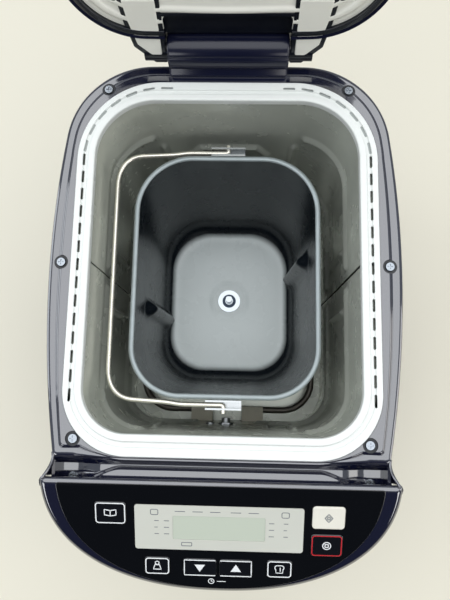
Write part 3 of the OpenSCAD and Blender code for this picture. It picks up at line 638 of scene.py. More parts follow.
class BreadMachineSizes(bpy.types.PropertyGroup):
    """Shapes that the frame leaves to the finish, in millimetres."""
    deck_band: length_of("Deck band", "Width of the low band round the deck", 8.6, 6, 11)
    deck_step: length_of("Deck step", "Height of the step inside the band", 1.9, 0.5, 3)
    rim_groove: length_of("Rim groove", "Depth of the groove in the vent rim", 1.2, 0.2, 1.5)
    bead: length_of("Chamber bead", "Depth of the beads pressed in the chamber's walls", 3.0, 0.5, 4)
    pan_rib: length_of("Pan rib", "How far the ribs stand into the pan", 9.0, 5, 12)
    liner_rib: length_of("Liner rib", "Height of the ribs pressed in the lid's liner", 1.3, 0.5, 2)


# ---------- pieces ----------
def slot_outline(cx, cy, length, width, turn):
    """A slot with round ends, at a place and turned by an angle in degrees. Its length runs along y."""
    r, h = width / 2, length / 2 - width / 2
    shape = np.vstack([arc(0, h, r, 0, 180, 7), arc(0, -h, r, 180, 360, 7)])
    a = math.radians(turn)
    return shape @ np.array([[math.cos(a), math.sin(a)], [-math.sin(a), math.cos(a)]]) + (cx, cy)


def soft_rect(cx, cy, w, d, r, n=8):
    """Rounded rectangle of a width and depth round a centre."""
    return oblong(w / 2, d / 2, r, r, n) + (cx, cy)


def panel_height(y):
    """Height of the panel's sloping plane at a distance y."""
    return LIP_Z + (y - LIP_Y) * math.tan(math.radians(PANEL_SLOPE))


def casing_curve():
    """Plan of the casing: the deck's bowed sides and rear, and a superellipse front."""
    mid = -137.0
    front = bow(side_x(mid), -PANEL_FRONT + mid, mid, 2.6)
    return both_sides(np.vstack([front, side_and_rear(0, mid + 6)]))


def make_casing():
    """Casing wall: the plan carried from the base to a top edge that steps from the deck's joint down under
    the panel, following the panel's slope; the wall is then cut by the cooling slots and the cord's gland."""
    n = 560
    plan = even(casing_curve(), n)
    top = np.where(plan[:, 1] > DECK_FRONT, DECK_Z - 14.5, np.minimum(panel_height(plan[:, 1]) - 16.4,
                                                                      DECK_Z - 14.5))
    near = smooth(plan[:, 1], -160.5, -158) * (1 - smooth(plan[:, 1], DECK_FRONT - 0.5, DECK_FRONT + 0.5))
    top = top + near * (DECK_Z - 4 - top)
    profile = rounded_line([(2.2, 0, 0), (0.9, 0, 1), (0, 2.4, 1.6), (0, 8, 0)])
    low = carry(profile, plan)
    low[..., 2] += SHELL_LOW
    t = np.linspace(0, 1, 22)[1:, None]
    rise = low[-1, :, 2] + t * (top - 0.6 - low[-1, :, 2])
    wall = np.concatenate([np.broadcast_to(plan, (21, n, 2)), rise[..., None]], axis=2)
    edge = carry(np.array([(0.6, 0.0)]), plan)
    edge[0, :, 2] = top
    piece = thicken(surface("casing_wall", np.concatenate([low, wall, edge])), 2.2)
    back = [soft_rect(i * 9, BODY_REAR, 4, 24, 1.9, 4) for i in range(-4, 5)]
    sides = [soft_rect(0, -58 + i * 10, 2 * BODY_HW + 10, 4, 1.9, 4) for i in range(7)]
    cut(piece, prisms("back_slots", back, 40, 74))
    cut(piece, prisms("side_slots", sides, 30, 52))
    gland_x, gland_z = ((low_mm("cord_bush", axis) + high_mm("cord_bush", axis)) / 2 for axis in (0, 2))
    gland = arc(gland_x, gland_z, GLAND_R, 0, 352.5, 48)
    cut(piece, prisms("gland_hole", [gland], -BODY_REAR - 6, -BODY_REAR + 20,
                      lambda p: p[:, [0, 2, 1]] * (1, -1, 1)))
    settle(piece, "machine", "shell_navy", finish("polished_navy_abs"), "body_shell")


def make_deck():
    """Deck cover: between the deck's outline and the rim's, each point lies on the straight line from one
    to the other. Its height follows a profile: a skirt, a rounded edge, a low band, a step, and a flat to
    the rim."""
    size = bpy.context.scene.bread_machine_sizes
    n = 720
    outer = even(deck_curve(), n)
    angles = directions(outer)
    inner = at_angles(oblong(RIM_HW + 0.25, RIM_HD + 0.25, 46, 61, 60), angles)
    across = np.linalg.norm(outer - inner, axis=1)
    fit = np.clip(across / 14, 0.04, 1)
    band = size.deck_band
    line = rounded_line([(0, -14, 0), (0, -3.4, 2.6), (2.6, -size.deck_step - 0.25, 2.4),
                         (band - 0.2, -size.deck_step, 0.9),
                         (band + 0.9, -0.45, 0.8), (band + 2.0, 0, 0.7), (band + 3.4, -0.05, 0)], 7)
    share = np.minimum(line[:, 0][:, None] * fit / across, 1)
    low = np.where(line[:, 1] < -3, 1.0, 0.0)[:, None]
    drop = line[:, 1][:, None] * (low + (1 - low) * (0.35 + 0.65 * fit))
    plan = outer[None] + (inner - outer)[None] * share[..., None]
    rings = np.concatenate([plan, (DECK_Z + drop)[..., None]], axis=2)
    last = rings[-1]
    t = np.linspace(0, 1, 4)[1:, None, None]
    flat = last[None] + (np.column_stack([inner, np.full(n, DECK_Z - 0.05)])[None] - last[None]) * t
    lip = np.column_stack([inner, np.full(n, DECK_Z - 2.4)])[None]
    piece = thicken(surface("deck_cover", np.concatenate([rings, flat, lip])), 2.0)
    wells = [arc(s * x, y, SCREW_WELL_R, 0, 352.5, 48) for x, y in SCREWS for s in (-1, 1)]
    cut(piece, prisms("screw_wells", wells, DECK_Z - 1.75, DECK_Z + 4))
    settle(piece, "machine", "shell_navy", finish("gloss_navy_abs"), "deck_bezel")
    # Satin black discs at the bottom of the screw wells: painted shade for the wells' dark hollows
    settle(prisms("screw_well_shade_floors", wells, DECK_Z - 1.85, DECK_Z - 1.5), "machine", "base_black",
           finish("satin_black_abs"))


def mouth_curve(grow, n):
    """Evenly divided outline of the chamber's mouth, grown by a distance."""
    return even(oblong(MOUTH_HW + grow, MOUTH_HD + grow, 32 + grow, 44 + grow, 40), n)


def make_rim():
    """Vent rim: rings grown from the mouth's outline at the heights of a profile with a raised inner lip, a
    groove and a flat band that ends in the rim's own outline; slots are cut along its sides and round its
    rear corners."""
    groove = bpy.context.scene.bread_machine_sizes.rim_groove
    n = 640
    line = rounded_line([(9.2, 1.0, 0.3), (8.6, 1.0 - groove, 0.3), (5.6, 1.0 - groove, 0.3), (4.9, 2.2, 0.6),
                         (0.0, 2.2, 1.4), (0.0, -2, 0)], 6)
    inner = np.stack([np.column_stack([mouth_curve(g, n), np.full(n, DECK_Z + h)]) for g, h in line])
    edge = even(oblong(RIM_HW, RIM_HD, 46, 61, 60), n)
    skirt = rounded_line([(0, -2.6, 0), (0, 1.0, 0.8), (1.6, 1.0, 0)], 6)
    outer = carry(skirt, edge)
    outer[..., 2] += DECK_Z
    low = np.stack([np.column_stack([mouth_curve(0, n), np.full(n, DECK_Z + h)]) for h in (-3.4,)])
    piece = thicken(surface("vent_rim_cover", np.concatenate([outer, inner, low])), 1.1)
    corner_x, corner_y, reach = RIM_HW - 61, RIM_HD - 61, 56
    side = [slot_outline(s * (RIM_HW - 5), -97 + i * 13.3, *VENT, 0) for i in range(14) for s in (-1, 1)]
    cut(piece, prisms("side_vents", side, DECK_Z - 6, DECK_Z + 6))
    bends = []
    for s in (-1, 1):
        for i in range(6):
            a = math.radians(10 + 14 * i)
            x, y = s * (corner_x + reach * math.cos(a)), corner_y + reach * math.sin(a)
            bends.append(slot_outline(x, y, *VENT, s * math.degrees(a)))
        bends.append(slot_outline(s * 46, RIM_HD - 5, *VENT, 90))
    cut(piece, prisms("corner_vents", bends, DECK_Z - 0.6, DECK_Z + 6))
    # Grey floors under the corner slots: painted shade standing in for the slots' shaded hollows
    floors = prisms("corner_vent_shade_floors", bends, DECK_Z - 1.3, DECK_Z - 0.5)
    settle(floors, "machine", "rim_white", finish("painted_shade_resin"))
    settle(piece, "machine", "rim_white", finish("white_heatproof_resin"), "vent_rim")


def bead_depth(along, height, beads):
    """Sum of pressed beads: each falls as 1 - 3 t^2 + 2 t^3 of the distance from its middle line to its
    edge. A bead is (start, end, height at start, height at end, half width) in distance along the wall and
    height."""
    depth = np.zeros_like(along)
    for s0, s1, z0, z1, half in beads:
        run = np.array([s1 - s0, z1 - z0])
        t = np.clip(((along - s0) * run[0] + (height - z0) * run[1]) / (run @ run), 0, 1)
        away = np.hypot(along - s0 - t * run[0], height - z0 - t * run[1])
        depth = np.maximum(depth, 1 - smooth(away, 0, half))
    return depth


def make_chamber():
    """Chamber halves: the mouth's outline carried down to the floor, with beads pressed inwards round the
    corners. A bead's place is measured along the wall from the half's middle."""
    size = bpy.context.scene.bread_machine_sizes
    n = 720
    plan = mouth_curve(1.5, n)
    z = np.linspace(FLOOR_Z, DECK_Z - 3.6, 92)
    step = np.hypot(*(np.roll(plan, -1, axis=0) - plan).T).mean()
    for name, front in (("chamber_rear_sheet", False), ("chamber_front_sheet", True)):
        shift = 0 if front else n // 2
        turned_plan = np.roll(plan, shift, axis=0)
        keep = (turned_plan[:, 1] < -0.3) if front else (turned_plan[:, 1] > 0.3)
        strip = turned_plan[keep]
        normal = np.roll(outward(plan), shift, axis=0)[keep]
        along = (np.arange(len(strip)) - len(strip) / 2) * step
        s, h = np.meshgrid(along, z)
        end = abs(along[0]) - 9
        beads = []
        for side in (-1, 1):
            for level, stop in ((112, 30), (132, 42), (226, 66)):
                beads.append((side * stop, side * end, level, level, 4.2))
            beads += [(side * (end - 16), side * (end - 16), 150, 208, 4.5),
                      (side * 58, side * 58, 158, 208, 4.5)]
        if not front:
            beads += [(-24, 24, 206, 206, 5), (-34, -24, 190, 206, 5), (24, 34, 206, 190, 5)]
        depth = bead_depth(s, h, beads) * size.bead
        spots = strip[None] - depth[..., None] * normal[None]
        rings = np.concatenate([spots, h[..., None]], axis=2)
        flange = carry(np.array([(-1.0, DECK_Z - 3.2), (-8.0, DECK_Z - 3.2)]), plan)
        flange = np.roll(flange, shift, axis=1)[:, keep]
        piece = surface(name, np.concatenate([rings, flange]), wrap_columns=False, flip=True)
        thicken(piece, 0.9)
        settle(piece, "machine", "chamber_sheet", finish("aluminised_sheet"),
               "chamber_front" if front else "chamber_rear")


def pan_plan(shrink, n):
    """Evenly divided plan of the pan, drawn in by a distance, and at both ends by up to PAN_END_DRAW more."""
    ends = PAN_END_DRAW * float(smooth(shrink, 1.5, 15))
    return even(oblong(PAN_HW - shrink, PAN_HD - shrink - ends, 40 - shrink / 3, 46 - shrink / 3, 40), n)


def make_pan():
    """Pan: the plan is drawn in along a profile, down the outside, over the floor to the shaft's hole and
    up the inside. Two upright ribs push the inner wall in by cos^2 across them, and fade out at their
    tops."""
    size = bpy.context.scene.bread_machine_sizes
    n = 440
    floor, wall = PAN_FLOOR_Z, 1.5

    def shell(draw, base):
        return rounded_line([(draw, PAN_RIM_Z + 0.8, 0), (draw + 8.4, base + 7, 11), (draw + 17, base, 8),
                             (draw + 26, base, 0)], 12)

    outside, inside = shell(0, floor - wall), shell(wall, floor)
    dense = np.linspace(0, 1, 76)
    rings = []
    for line, is_inner in ((outside, False), (inside, True)):
        run = np.concatenate([[0], np.cumsum(np.hypot(*np.diff(line, axis=0).T))])
        shrink = np.interp(dense * run[-1], run, line[:, 0])
        height = np.interp(dense * run[-1], run, line[:, 1])
        grid = np.stack([np.column_stack([pan_plan(s, n), np.full(n, h)]) for s, h in zip(shrink, height)])
        if is_inner:
            for side, rib_y in ((-1, -22), (1, 22)):
                near = np.clip(np.abs(grid[..., 1] - rib_y) / 11, 0, 1)
                up = 1 - smooth(grid[..., 2], floor + 92, floor + 106)
                foot = smooth(grid[..., 2], floor + 0.5, floor + 12)
                push = size.pan_rib * np.cos(near * math.pi / 2) ** 2 * up * foot * (side * grid[..., 0] > 40)
                grid[..., 0] -= side * push
        edge = grid[-1]
        ring = edge[:, :2] / np.linalg.norm(edge[:, :2], axis=1, keepdims=True)
        t = np.linspace(0, 1, 18)[1:, None, None]
        plan = edge[None, :, :2] * (1 - t) + ring[None] * 9 * t
        reach = np.linalg.norm(plan, axis=2)
        level = edge[0, 2] + 0.9 * (1 - smooth(reach, 17, 21)) * is_inner
        rings.append(np.concatenate([grid, np.concatenate([plan, level[..., None]], axis=2)]))
    loop = np.concatenate([rings[0][::-1], rings[1]])
    piece = surface("pan_shell", loop, wrap_rows=True)
    settle(piece, "pan", "pan_coating", finish("non_stick_coat"), "pan_body")
    bead = arc(0, 0, 1.3, 180, -165, 20) * (1.6, 1) + (1.1, PAN_RIM_Z + 1.3)
    piece = surface("pan_edge_roll", carry(bead * (1, 1), pan_plan(0, n)), wrap_rows=True)
    settle(piece, "pan", "pan_edge", finish("rubbed_edge"), "pan_rim")


def make_handle():
    """Handle: a round wire whose middle line runs out of one ear, along the pan's end, round two bends and
    back."""
    arm = HANDLE_END_Y - 6.5
    line = [(0, HANDLE_END_Y - 0.1, 0), (0, arm, 2.4), (-34, arm, 6), (-44, arm - 1.6, 6),
            (-HANDLE_X, arm - 4, 26),
            (-HANDLE_X, 0, 0)]
    half = rounded_line(line, 14)
    path = np.vstack([half[:-1], (half * (1, -1))[::-1]])
    path = np.column_stack([path, np.full(len(path), PIVOT_Z)])
    settle(tube("handle_bow", path, WIRE_R, 20), "handle", "handle_wire", finish("bright_wire"), "pan_handle")


def flare_x(y):
    """Half width between deck and panel: the bowed side, flared by 9 t ** 2.2 out to the panel's tip."""
    t = np.clip((-136 - y) / 16.5, 0, 1)
    return side_x(y) + (PANEL_HW - 1.6 - side_x(-152.5)) * t ** 2.2


def make_trough():
    """Groove between deck and panel: height over a grid of x and y. In the middle a groove and a flat pad
    climb to the lip, and towards the ends the pad runs out in a curve and the floor sinks to a pit. A thin
    wall flares from the deck's side out to each tip of the panel."""
    y = np.linspace(DECK_FRONT - 0.1, -156.5, 64)
    gx = np.linspace(-1, 1, 261)[None] * (flare_x(y) - 1.3)[:, None]
    gy = np.broadcast_to(y[:, None], gx.shape)
    run = (DECK_FRONT - gy) / (DECK_FRONT - LIP_Y)
    end = smooth(np.abs(gx), 80, 104)
    base = DECK_Z - 9.5 - 6.1 * end
    pad = 5.6 * (1 - end) * smooth(run - 0.42 - 0.7 * smooth(np.abs(gx), 68, 98), 0, 0.2)
    z = base + pad + (1 - end) * 3.0 * smooth(run, 0.88, 1.1) + (DECK_Z - 3.2 - base) * (1 - smooth(run, 0.0,
                                                                                                    0.42))
    z = np.minimum(z, panel_height(gy) - 3.4)
    rings = np.stack([gx, gy, z], axis=-1)
    piece = surface("trough_floor", rings, wrap_columns=False, flip=True)
    thicken(piece, 1.6)
    wells = [arc(s * 104.2, -153.5, 1.7, 0, 345, 24) for s in (-1, 1)]
    cut(piece, prisms("trough_holes", wells, DECK_Z - 30, DECK_Z + 4))
    settle(piece, "machine", "shell_navy", finish("gloss_navy_abs"), "front_trough")
    y = np.linspace(-136, -152.6, 34)
    t = np.linspace(0, 1, 9)[:, None]
    top = DECK_Z - 3 + (LIP_Z - 0.6 - DECK_Z + 3) * smooth(-y, 138, 152)
    for name, side in (("left_tip_wall", -1), ("right_tip_wall", 1)):
        grid = np.stack(np.broadcast_arrays(side * flare_x(y)[None], y[None],
                                            DECK_Z - 15.6 + t * (top - DECK_Z + 15.6)),
                        axis=-1)
        wall = thicken(surface(name, grid, wrap_columns=False, flip=side > 0), 1.6)
        settle(wall, "machine", "shell_navy", finish("gloss_navy_abs"))


# ---------- panel ----------
def panel_curve(inset, side_inset, rear, n):
    """Plan of the panel: a superellipse front, closed by a straight rear edge with small round corners."""
    half = bow(PANEL_HW - side_inset, -PANEL_FRONT - 150 - inset, -150.0, 2.25, 90)
    half = half[half[:, 1] < rear - 1.6]
    x = half[-1, 0]
    half = np.vstack([half, [[x - 0.1, rear - 1.0], [x - 0.5, rear - 0.35], [x - 1.2, rear]]])
    return even(both_sides(half), n)


def panel_rings(line, inset, side_inset, n):
    """One outline of the panel for each point (inset, height) of a profile."""
    return np.stack([np.column_stack([panel_curve(inset + e, side_inset + e, LIP_Y - inset - e, n),
                                      np.full(n, h)])
                     for e, h in line])


def key_shapes(grow):
    """Outlines of the key openings in panel coordinates, grown by a distance."""
    return [soft_rect(x, -s, w + 2 * grow, d + 2 * grow, 2.5 + grow) for x, s, w, d in KEYS.values()]


def make_panel():
    """Panel housing and film: rings set in from the panel's plan, at heights over its sloping plane, closed
    at the middle, then cut by the key openings and the display's window."""
    n = 560
    line = rounded_line([(3.0, -16, 0), (0.8, -15.6, 0.8), (0, -13, 0.8), (0, -2.6, 1.8), (2.8, -0.05, 1.8),
                         (6, -0.05, 0)], 8)
    rings = panel_rings(line, 0, 0, n)
    deep = 5 + 11 * (1 - smooth(rings[..., 1], -160, -156))
    drop = np.maximum(rings[..., 2], -deep)
    rings[..., 2] = panel_height(rings[..., 1]) + drop
    top = cap_rings(rings[-1], 12, centre=PANEL_MIDDLE)
    top[..., 2] = panel_height(top[..., 1]) - 0.05
    piece = thicken(surface("panel_frame", np.concatenate([rings, top]), lid=True), 2.4)
    cut(piece, prisms("key_openings", key_shapes(0.35) + [soft_rect(0, -DISPLAY_S, 66, 21, 1)], -6, 3,
                      on_panel))
    settle(piece, "machine", "shell_navy", finish("gloss_navy_abs"), "panel_housing")

    slope = math.cos(math.radians(PANEL_SLOPE))
    rings = panel_rings(rounded_line([(0.1, -0.4, 0), (0, 0.3, 0.15), (0.25, 0.52, 0.2), (3, 0.54, 0)], 4),
                        3, 12, n)
    rings[..., 2] = panel_height(rings[..., 1]) + rings[..., 2] / slope
    top = cap_rings(rings[-1], 10, centre=PANEL_MIDDLE)
    top[..., 2] = panel_height(top[..., 1]) + 0.54 / slope
    piece = thicken(surface("panel_glass", np.concatenate([rings, top]), lid=True), 0.7)
    cut(piece, prisms("film_openings", key_shapes(0.3) + [soft_rect(0, -DISPLAY_S, 115.4, 34.4, 2)], -2, 3,
                      on_panel))
    settle(piece, "machine", "film_black", finish("hard_coated_film"), "panel_film")


def ribbons(name, lines, width, low, high):
    """Printed lines: a flat rectangle carried along each path of points, which is closed where it ends at its
    start. Each point's normal comes from its neighbours."""
    vertices, faces, start = [], [], 0
    for line in lines:
        line = np.asarray(line, float)
        closed = bool(np.allclose(line[0], line[-1]))
        line = line[:-1] if closed else line
        along = np.roll(line, -1, axis=0) - np.roll(line, 1, axis=0) if closed else np.gradient(line, axis=0)
        side = np.column_stack([along[:, 1], -along[:, 0]])
        side *= width / 2 / np.maximum(np.linalg.norm(side, axis=1, keepdims=True), 1e-9)
        count = len(line)
        corners = [(line + side, low), (line + side, high), (line - side, high), (line - side, low)]
        grid = np.stack([np.column_stack([p, np.full(count, h)]) for p, h in corners], axis=1)
        vertices.append(grid.reshape(-1, 3))
        faces += (quads(count, 4, wrap_rows=closed).reshape(-1, 4)[:, ::-1] + start).tolist()
        if not closed:
            last = start + 4 * (count - 1)
            faces += [[start, start + 1, start + 2, start + 3], [last + 3, last + 2, last + 1, last]]
        start += 4 * count
    return mesh_from(name, on_panel(np.vstack(vertices)), faces)


def loop_of(outline):
    """An outline whose last point repeats its first."""
    return np.vstack([outline, outline[:1]])


def circle(cx, cy, r, n=28):
    """A closed circle of points."""
    return arc(cx, cy, r, 0, 360, n)


def line_of(*points):
    """A path through corner points, divided so that each stretch has a few of its own."""
    points = np.array(points, float)
    t = np.linspace(0, 1, 5)[:-1, None]
    parts = [points[i] + (points[i + 1] - points[i]) * t for i in range(len(points) - 1)]
    return np.vstack(parts + [points[-1:]])


def key_symbol(name, x, y):
    """Strokes of a key's plain symbol, centred on the key: a book, a scale's weight, a slice, a spark or a
    ring."""
    if name == "menu_key":
        return [line_of((x, y - 2.2), (x - 4, y - 1.4), (x - 4, y + 2.6), (x, y + 1.9), (x + 4, y + 2.6),
                        (x + 4, y - 1.4),
                        (x, y - 2.2), (x, y + 1.9))]
    if name == "size_key":
        return [circle(x, y + 2.4, 1.3), line_of((x - 1.6, y + 0.9), (x - 2.7, y - 2.6), (x + 2.7, y - 2.6),
                                                (x + 1.6, y + 0.9), (x - 1.6, y + 0.9))]
    if name == "crust_key":
        return [loop_of(np.vstack([arc(x + 1.4, y + 1.3, 1.7, -50, 90, 8),
                                   arc(x - 1.4, y + 1.3, 1.7, 90, 230, 8),
                                   [[x - 2.3, y - 2.8], [x + 2.3, y - 2.8]]])),
                line_of((x + 0.6, y - 1.6), (x + 0.6, y + 1.4))]
    if name == "start_key":
        return [line_of((x, y + 3), (x + 2.6, y), (x, y - 3), (x - 2.6, y), (x, y + 3)),
                circle(x, y, 1.0, 16)]
    return [circle(x, y, 2.7), line_of((x - 1.1, y - 1.1), (x + 1.1, y - 1.1), (x + 1.1, y + 1.1),
                                       (x - 1.1, y + 1.1),
                                       (x - 1.1, y - 1.1))]


def make_keys():
    """Keys: rounded rectangles with a soft edge and a face dished by 0.15 mm towards the middle, and their
    symbols as printed lines and triangles a few hundredths of a millimetre over them."""
    for name, (x, s, w, d) in KEYS.items():
        shape = even(soft_rect(x, -s, w, d, 2.5, 12), 160)
        rings = carry(rounded_line([(0, -5, 0), (0, KEY_TOP - 0.5, 0.45), (0.7, KEY_TOP, 0.5),
                                    (1.6, KEY_TOP, 0)], 7), shape)
        base = np.array([x, -s, -5]) + (rings[:1] - (x, -s, -5)) * (0.0, 0.0, 1.0)
        face = cap_rings(rings[-1], 8, -0.15, centre=(x, -s))
        grid = np.concatenate([base, rings, face])
        piece = surface(name + "_cap", on_panel(grid.reshape(-1, 3)).reshape(grid.shape), lid=True)
        cream = name == "start_key"
        settle(piece, name, "key_cream" if cream else "key_black",
               finish("cream_key" if cream else "gloss_key"), name)
        ink = "grey_ink" if cream else "red_ink" if name == "stop_key" else "white_ink"
        if name in ("later_key", "earlier_key"):
            sign = -1 if name == "later_key" else 1
            mark = prisms(name + "_mark", [np.array([(x - 3.6, -s - sign * 2.4), (x + 3.6, -s - sign * 2.4),
                                                     (x, -s + sign * 3.2)])[::sign]], KEY_TOP - 0.16,
                          KEY_TOP + 0.02, on_panel)
            settle(mark, name, "display_silver", finish("white_ink"))
            inner = x + sign * (w / 2 - 1.1)
            edge = line_of((x - sign * (w / 2 - 0.95), -s + d / 2 - 1.1), (inner, -s + d / 2 - 1.1),
                           (inner, -s - d / 2 + 1.1), (x - sign * (w / 2 - 0.95), -s - d / 2 + 1.1))
            settle(ribbons(name + "_frame", [edge], 0.7, KEY_TOP - 0.05, KEY_TOP + 0.03), name,
                   "display_silver",
                   finish("white_ink"))
            continue
        strokes = ribbons(name + "_symbol", key_symbol(name, x, -s), 0.62, KEY_TOP - 0.16, KEY_TOP + 0.02)
        settle(strokes, name, "display_silver", finish(ink if cream else "white_ink"))
        if not cream:
            ring = loop_of(even(soft_rect(x, -s, w - 2.2, d - 2.2, 1.9, 10), 96))
            settle(ribbons(name + "_frame", [ring], 0.75, KEY_TOP - 0.05, KEY_TOP + 0.03), name,
                   "display_silver", finish(ink))


def make_prints():
    """Lines printed round the display, three marks at each side and small signs, and a clock under the time
    keys."""
    y, level = -DISPLAY_S, 0.5
    marks = [line_of((s * 34, y + h), (s * 37.5, y + h)) for s in (-1, 1) for h in (5, 0, -5)]
    marks += [line_of((s * 44, y + h - 1), (s * 44 + w, y + h - 1)) for s in (-1, 1)
              for h, w in ((6, 3), (1, 2.2), (-4, 3))]
    marks += [loop_of(soft_rect(-44, y + 11.5, 5, 4, 1)), loop_of(soft_rect(45, y + 11.5, 5, 4, 1)),
              loop_of(soft_rect(-22, y - 12.6, 7, 2.6, 0.5))]
    marks += [line_of((x, y + 12.4), (x + 7, y + 12.4)) for x in (-30, -18, -6, 8, 20)]
    settle(ribbons("display_scale", marks, 0.55, level - 0.1, level + 0.04), "machine", "display_silver",
           finish("grey_ink"))
    clock = [circle(-5, -76.2, 1.9), line_of((-5, -74.9), (-5, -76.2), (-3.9, -76.2)),
             line_of((-1, -76.2), (5, -76.2))]
    settle(ribbons("timer_sign", clock, 0.5, 0.45, 0.6), "machine", "display_silver", finish("white_ink"))


# ---------- hinge and lid ----------
def make_hinge():
    """Hinge cover: a closed profile in y and z, a barrel on a foot, carried along x and drawn in at both
    ends."""
    barrel = arc(HINGE_Y, HINGE_Z, 13.8, 200, -28, 70)
    crease = 0.7 * np.exp(-((np.linspace(200, -28, 70) - 150) / 3.0) ** 2)
    barrel -= crease[:, None] * (barrel - (HINGE_Y, HINGE_Z)) / 13.8
    profile = np.vstack([rounded_line([(BODY_REAR + 0.2, DECK_Z - 25, 0), (142.6, DECK_Z - 1, 0),
                                       (142.2, DECK_Z + 1.2, 1),
                                       tuple(barrel[0]) + (0,)], 5), barrel[1:-1],
                         rounded_line([(172, HINGE_Z - 6, 0), (172, DECK_Z - 6, 3),
                                       (BODY_REAR + 0.2, DECK_Z - 25, 0)], 6)])
    profile = even(profile[::-1], 220)
    inset = np.array([1.4, 0.5, 0.0, 0.0, 0.5, 1.4])
    reach = np.array([1.0, 0.985, 0.96, 0.96, 0.985, 1.0]) * (BARREL_HL + 1.5) * np.array([-1, -1, -1, 1, 1,
                                                                                           1])
    rows = np.stack([np.column_stack([np.full(220, x), profile - e * outward(profile)]) for x,
                     e in zip(reach, inset)])
    ends = [np.broadcast_to(rows[i].mean(axis=0), rows[:1].shape) for i in (0, -1)]
    grid = np.concatenate([ends[0], rows, ends[1]])
    settle(surface("hinge_barrel", grid), "machine", "shell_navy", finish("satin_navy_abs"), "hinge_cover")


def lid_curve(inset, n):
    """Plan of the closed lid: the deck's bowed sides and rear set in, and a front edge with round corners."""
    front, r = -159.0 + inset, 16.0
    corner = arc(side_x(front + r) - inset - r, front + r, r, -90, -9, 16)
    return even(both_sides(np.vstack([corner, side_and_rear(inset, front + r + 4)])), n)


def make_lid():
    """Lid, worked out closed and then turned open. The dome's plan is set in along a rounded profile and
    closed by a crowned top; its wall is hollow, and the barrel's notch is cut out. Frame and liner fill its
    open side."""
    rib = bpy.context.scene.bread_machine_sizes.liner_rib
    n = 560
    line = rounded_line([(11.4, 1.5, 0), (11, 2.4, 0.5), (13.9, 46, 16), (23, 62.5, 9), (49, 70.6, 12),
                         (56, 71.0, 0)], 12)
    rows = np.stack([np.column_stack([lid_curve(e, n), np.full(n, DECK_Z + h)]) for e, h in line])
    top = cap_rings(rows[-1], 14, 0.9, centre=(0, 0))
    piece = thicken(surface("lid_dome", opened(np.concatenate([rows, top])), lid=True), 2.4)
    notch = np.array([(-45, 138.5), (45, 138.5), (45, 200), (-45, 200)])
    cut(piece, prisms("lid_notch", [notch], DECK_Z - 5, DECK_Z + 90, opened))
    settle(piece, "lid", "shell_navy", finish("polished_navy_abs"), "lid_shell")

    ring = rounded_line([(17.6, 4.4, 0), (17.4, 1.9, 0.5), (13.7, 1.7, 0.5), (13.7, 4.5, 0)], 4)
    rows = np.stack([np.column_stack([lid_curve(e, n), np.full(n, DECK_Z + h)]) for e, h in ring])
    piece = surface("lid_seal_frame", opened(rows), wrap_rows=True, flip=True)
    cut(piece, prisms("frame_notch", [np.array([(-45, 120), (45, 120), (45, 200), (-45, 200)])], DECK_Z - 5,
                      DECK_Z + 30,
                      opened))
    settle(piece, "lid", "lid_dark", finish("lid_frame_resin"), "lid_frame")

    flat = 2.55 + rib
    low = flat - rib
    waves = [(17.6, flat + 1.2, 0), (17.8, flat + 0.1, 0.4), (22, flat, 1), (23.6, low, 1), (26.2, low, 1),
             (28, flat, 1), (31.5, flat, 1), (33, low, 1), (35, low, 1), (37, flat + 0.1, 1),
             (44, flat + 0.2, 0)]
    line = rounded_line(waves, 5)
    rows = np.stack([np.column_stack([lid_curve(e, n), np.full(n, DECK_Z + h)]) for e, h in line])
    top = cap_rings(rows[-1], 12, 0.4, centre=(0, 0))
    piece = thicken(surface("lid_liner_sheet", opened(np.concatenate([rows, top])), flip=True, lid=True), 1.0)
    slots = [soft_rect(i * 20, 109, 12, 8, 1.5) for i in range(-4, 5)]
    notch = soft_rect(0, 165, 90, 80, 3)
    cut(piece, prisms("liner_cuts", slots + [notch], DECK_Z - 5, DECK_Z + 20, opened))
    settle(piece, "lid", "lid_liner", finish("painted_liner"), "lid_plate")

    leg = np.array([(48.6, 112), (71, 112), (69.5, 128), (65.5, 148), (53, 160.5), (48.6, 160.5)])
    rim = np.array([(45.6, 110), (74.5, 110), (72.5, 130), (68.6, 150.5), (54.5, 165), (45.6, 165)])
    pocket = soft_rect(0, 132.8, 91, 21.4, 2)
    floor = prisms("hinge_pocket", [pocket], DECK_Z + 9, DECK_Z + 11, opened)
    settle(floor, "lid", "lid_dark", finish("lid_frame_resin"))
    rail = np.array([(-47.4, 145), (-47.4, 122.4), (47.4, 122.4), (47.4, 145), (45.4, 145), (45.4, 124.6),
                     (-45.4, 124.6),
                     (-45.4, 145)])[::-1]
    settle(prisms("hinge_pocket_rail", [rail], DECK_Z + 2.7, DECK_Z + 9.5, opened), "lid", "lid_dark",
           finish("lid_frame_resin"))
    for name, shape, low, high, slot, look in (("lid_leg_frames", rim, 2.9, 6.5, "lid_dark",
                                                "lid_frame_resin"),
                                               ("lid_leg_liners", leg, 2.3, 4.5, "lid_liner",
                                                "painted_liner")):
        pair = prisms(name, [shape, (shape * (-1, 1))[::-1]], DECK_Z + low, DECK_Z + high, opened)
        edge = pair.modifiers.new("soft edge", "BEVEL")
        edge.width, edge.segments, edge.limit_method = 0.0006, 2, "ANGLE"
        settle(bake(pair), "lid", slot, finish(look))


# ---------- stage ----------
def area_light(name, energy, size, place, aim, colour=(1.0, 1.0, 1.0)):
    """A rectangular area light of a width and a height at a place, turned towards a point."""
    light = bpy.data.lights.new(name, "AREA")
    light.energy, light.color, light.shape = energy, colour, "RECTANGLE"
    light.size, light.size_y = size
    lamp = bpy.data.objects.new(name, light)
    lamp.location = place
    lamp.rotation_euler = (Vector(aim) - Vector(place)).to_track_quat("-Z", "Y").to_euler()
    bpy.context.scene.collection.objects.link(lamp)


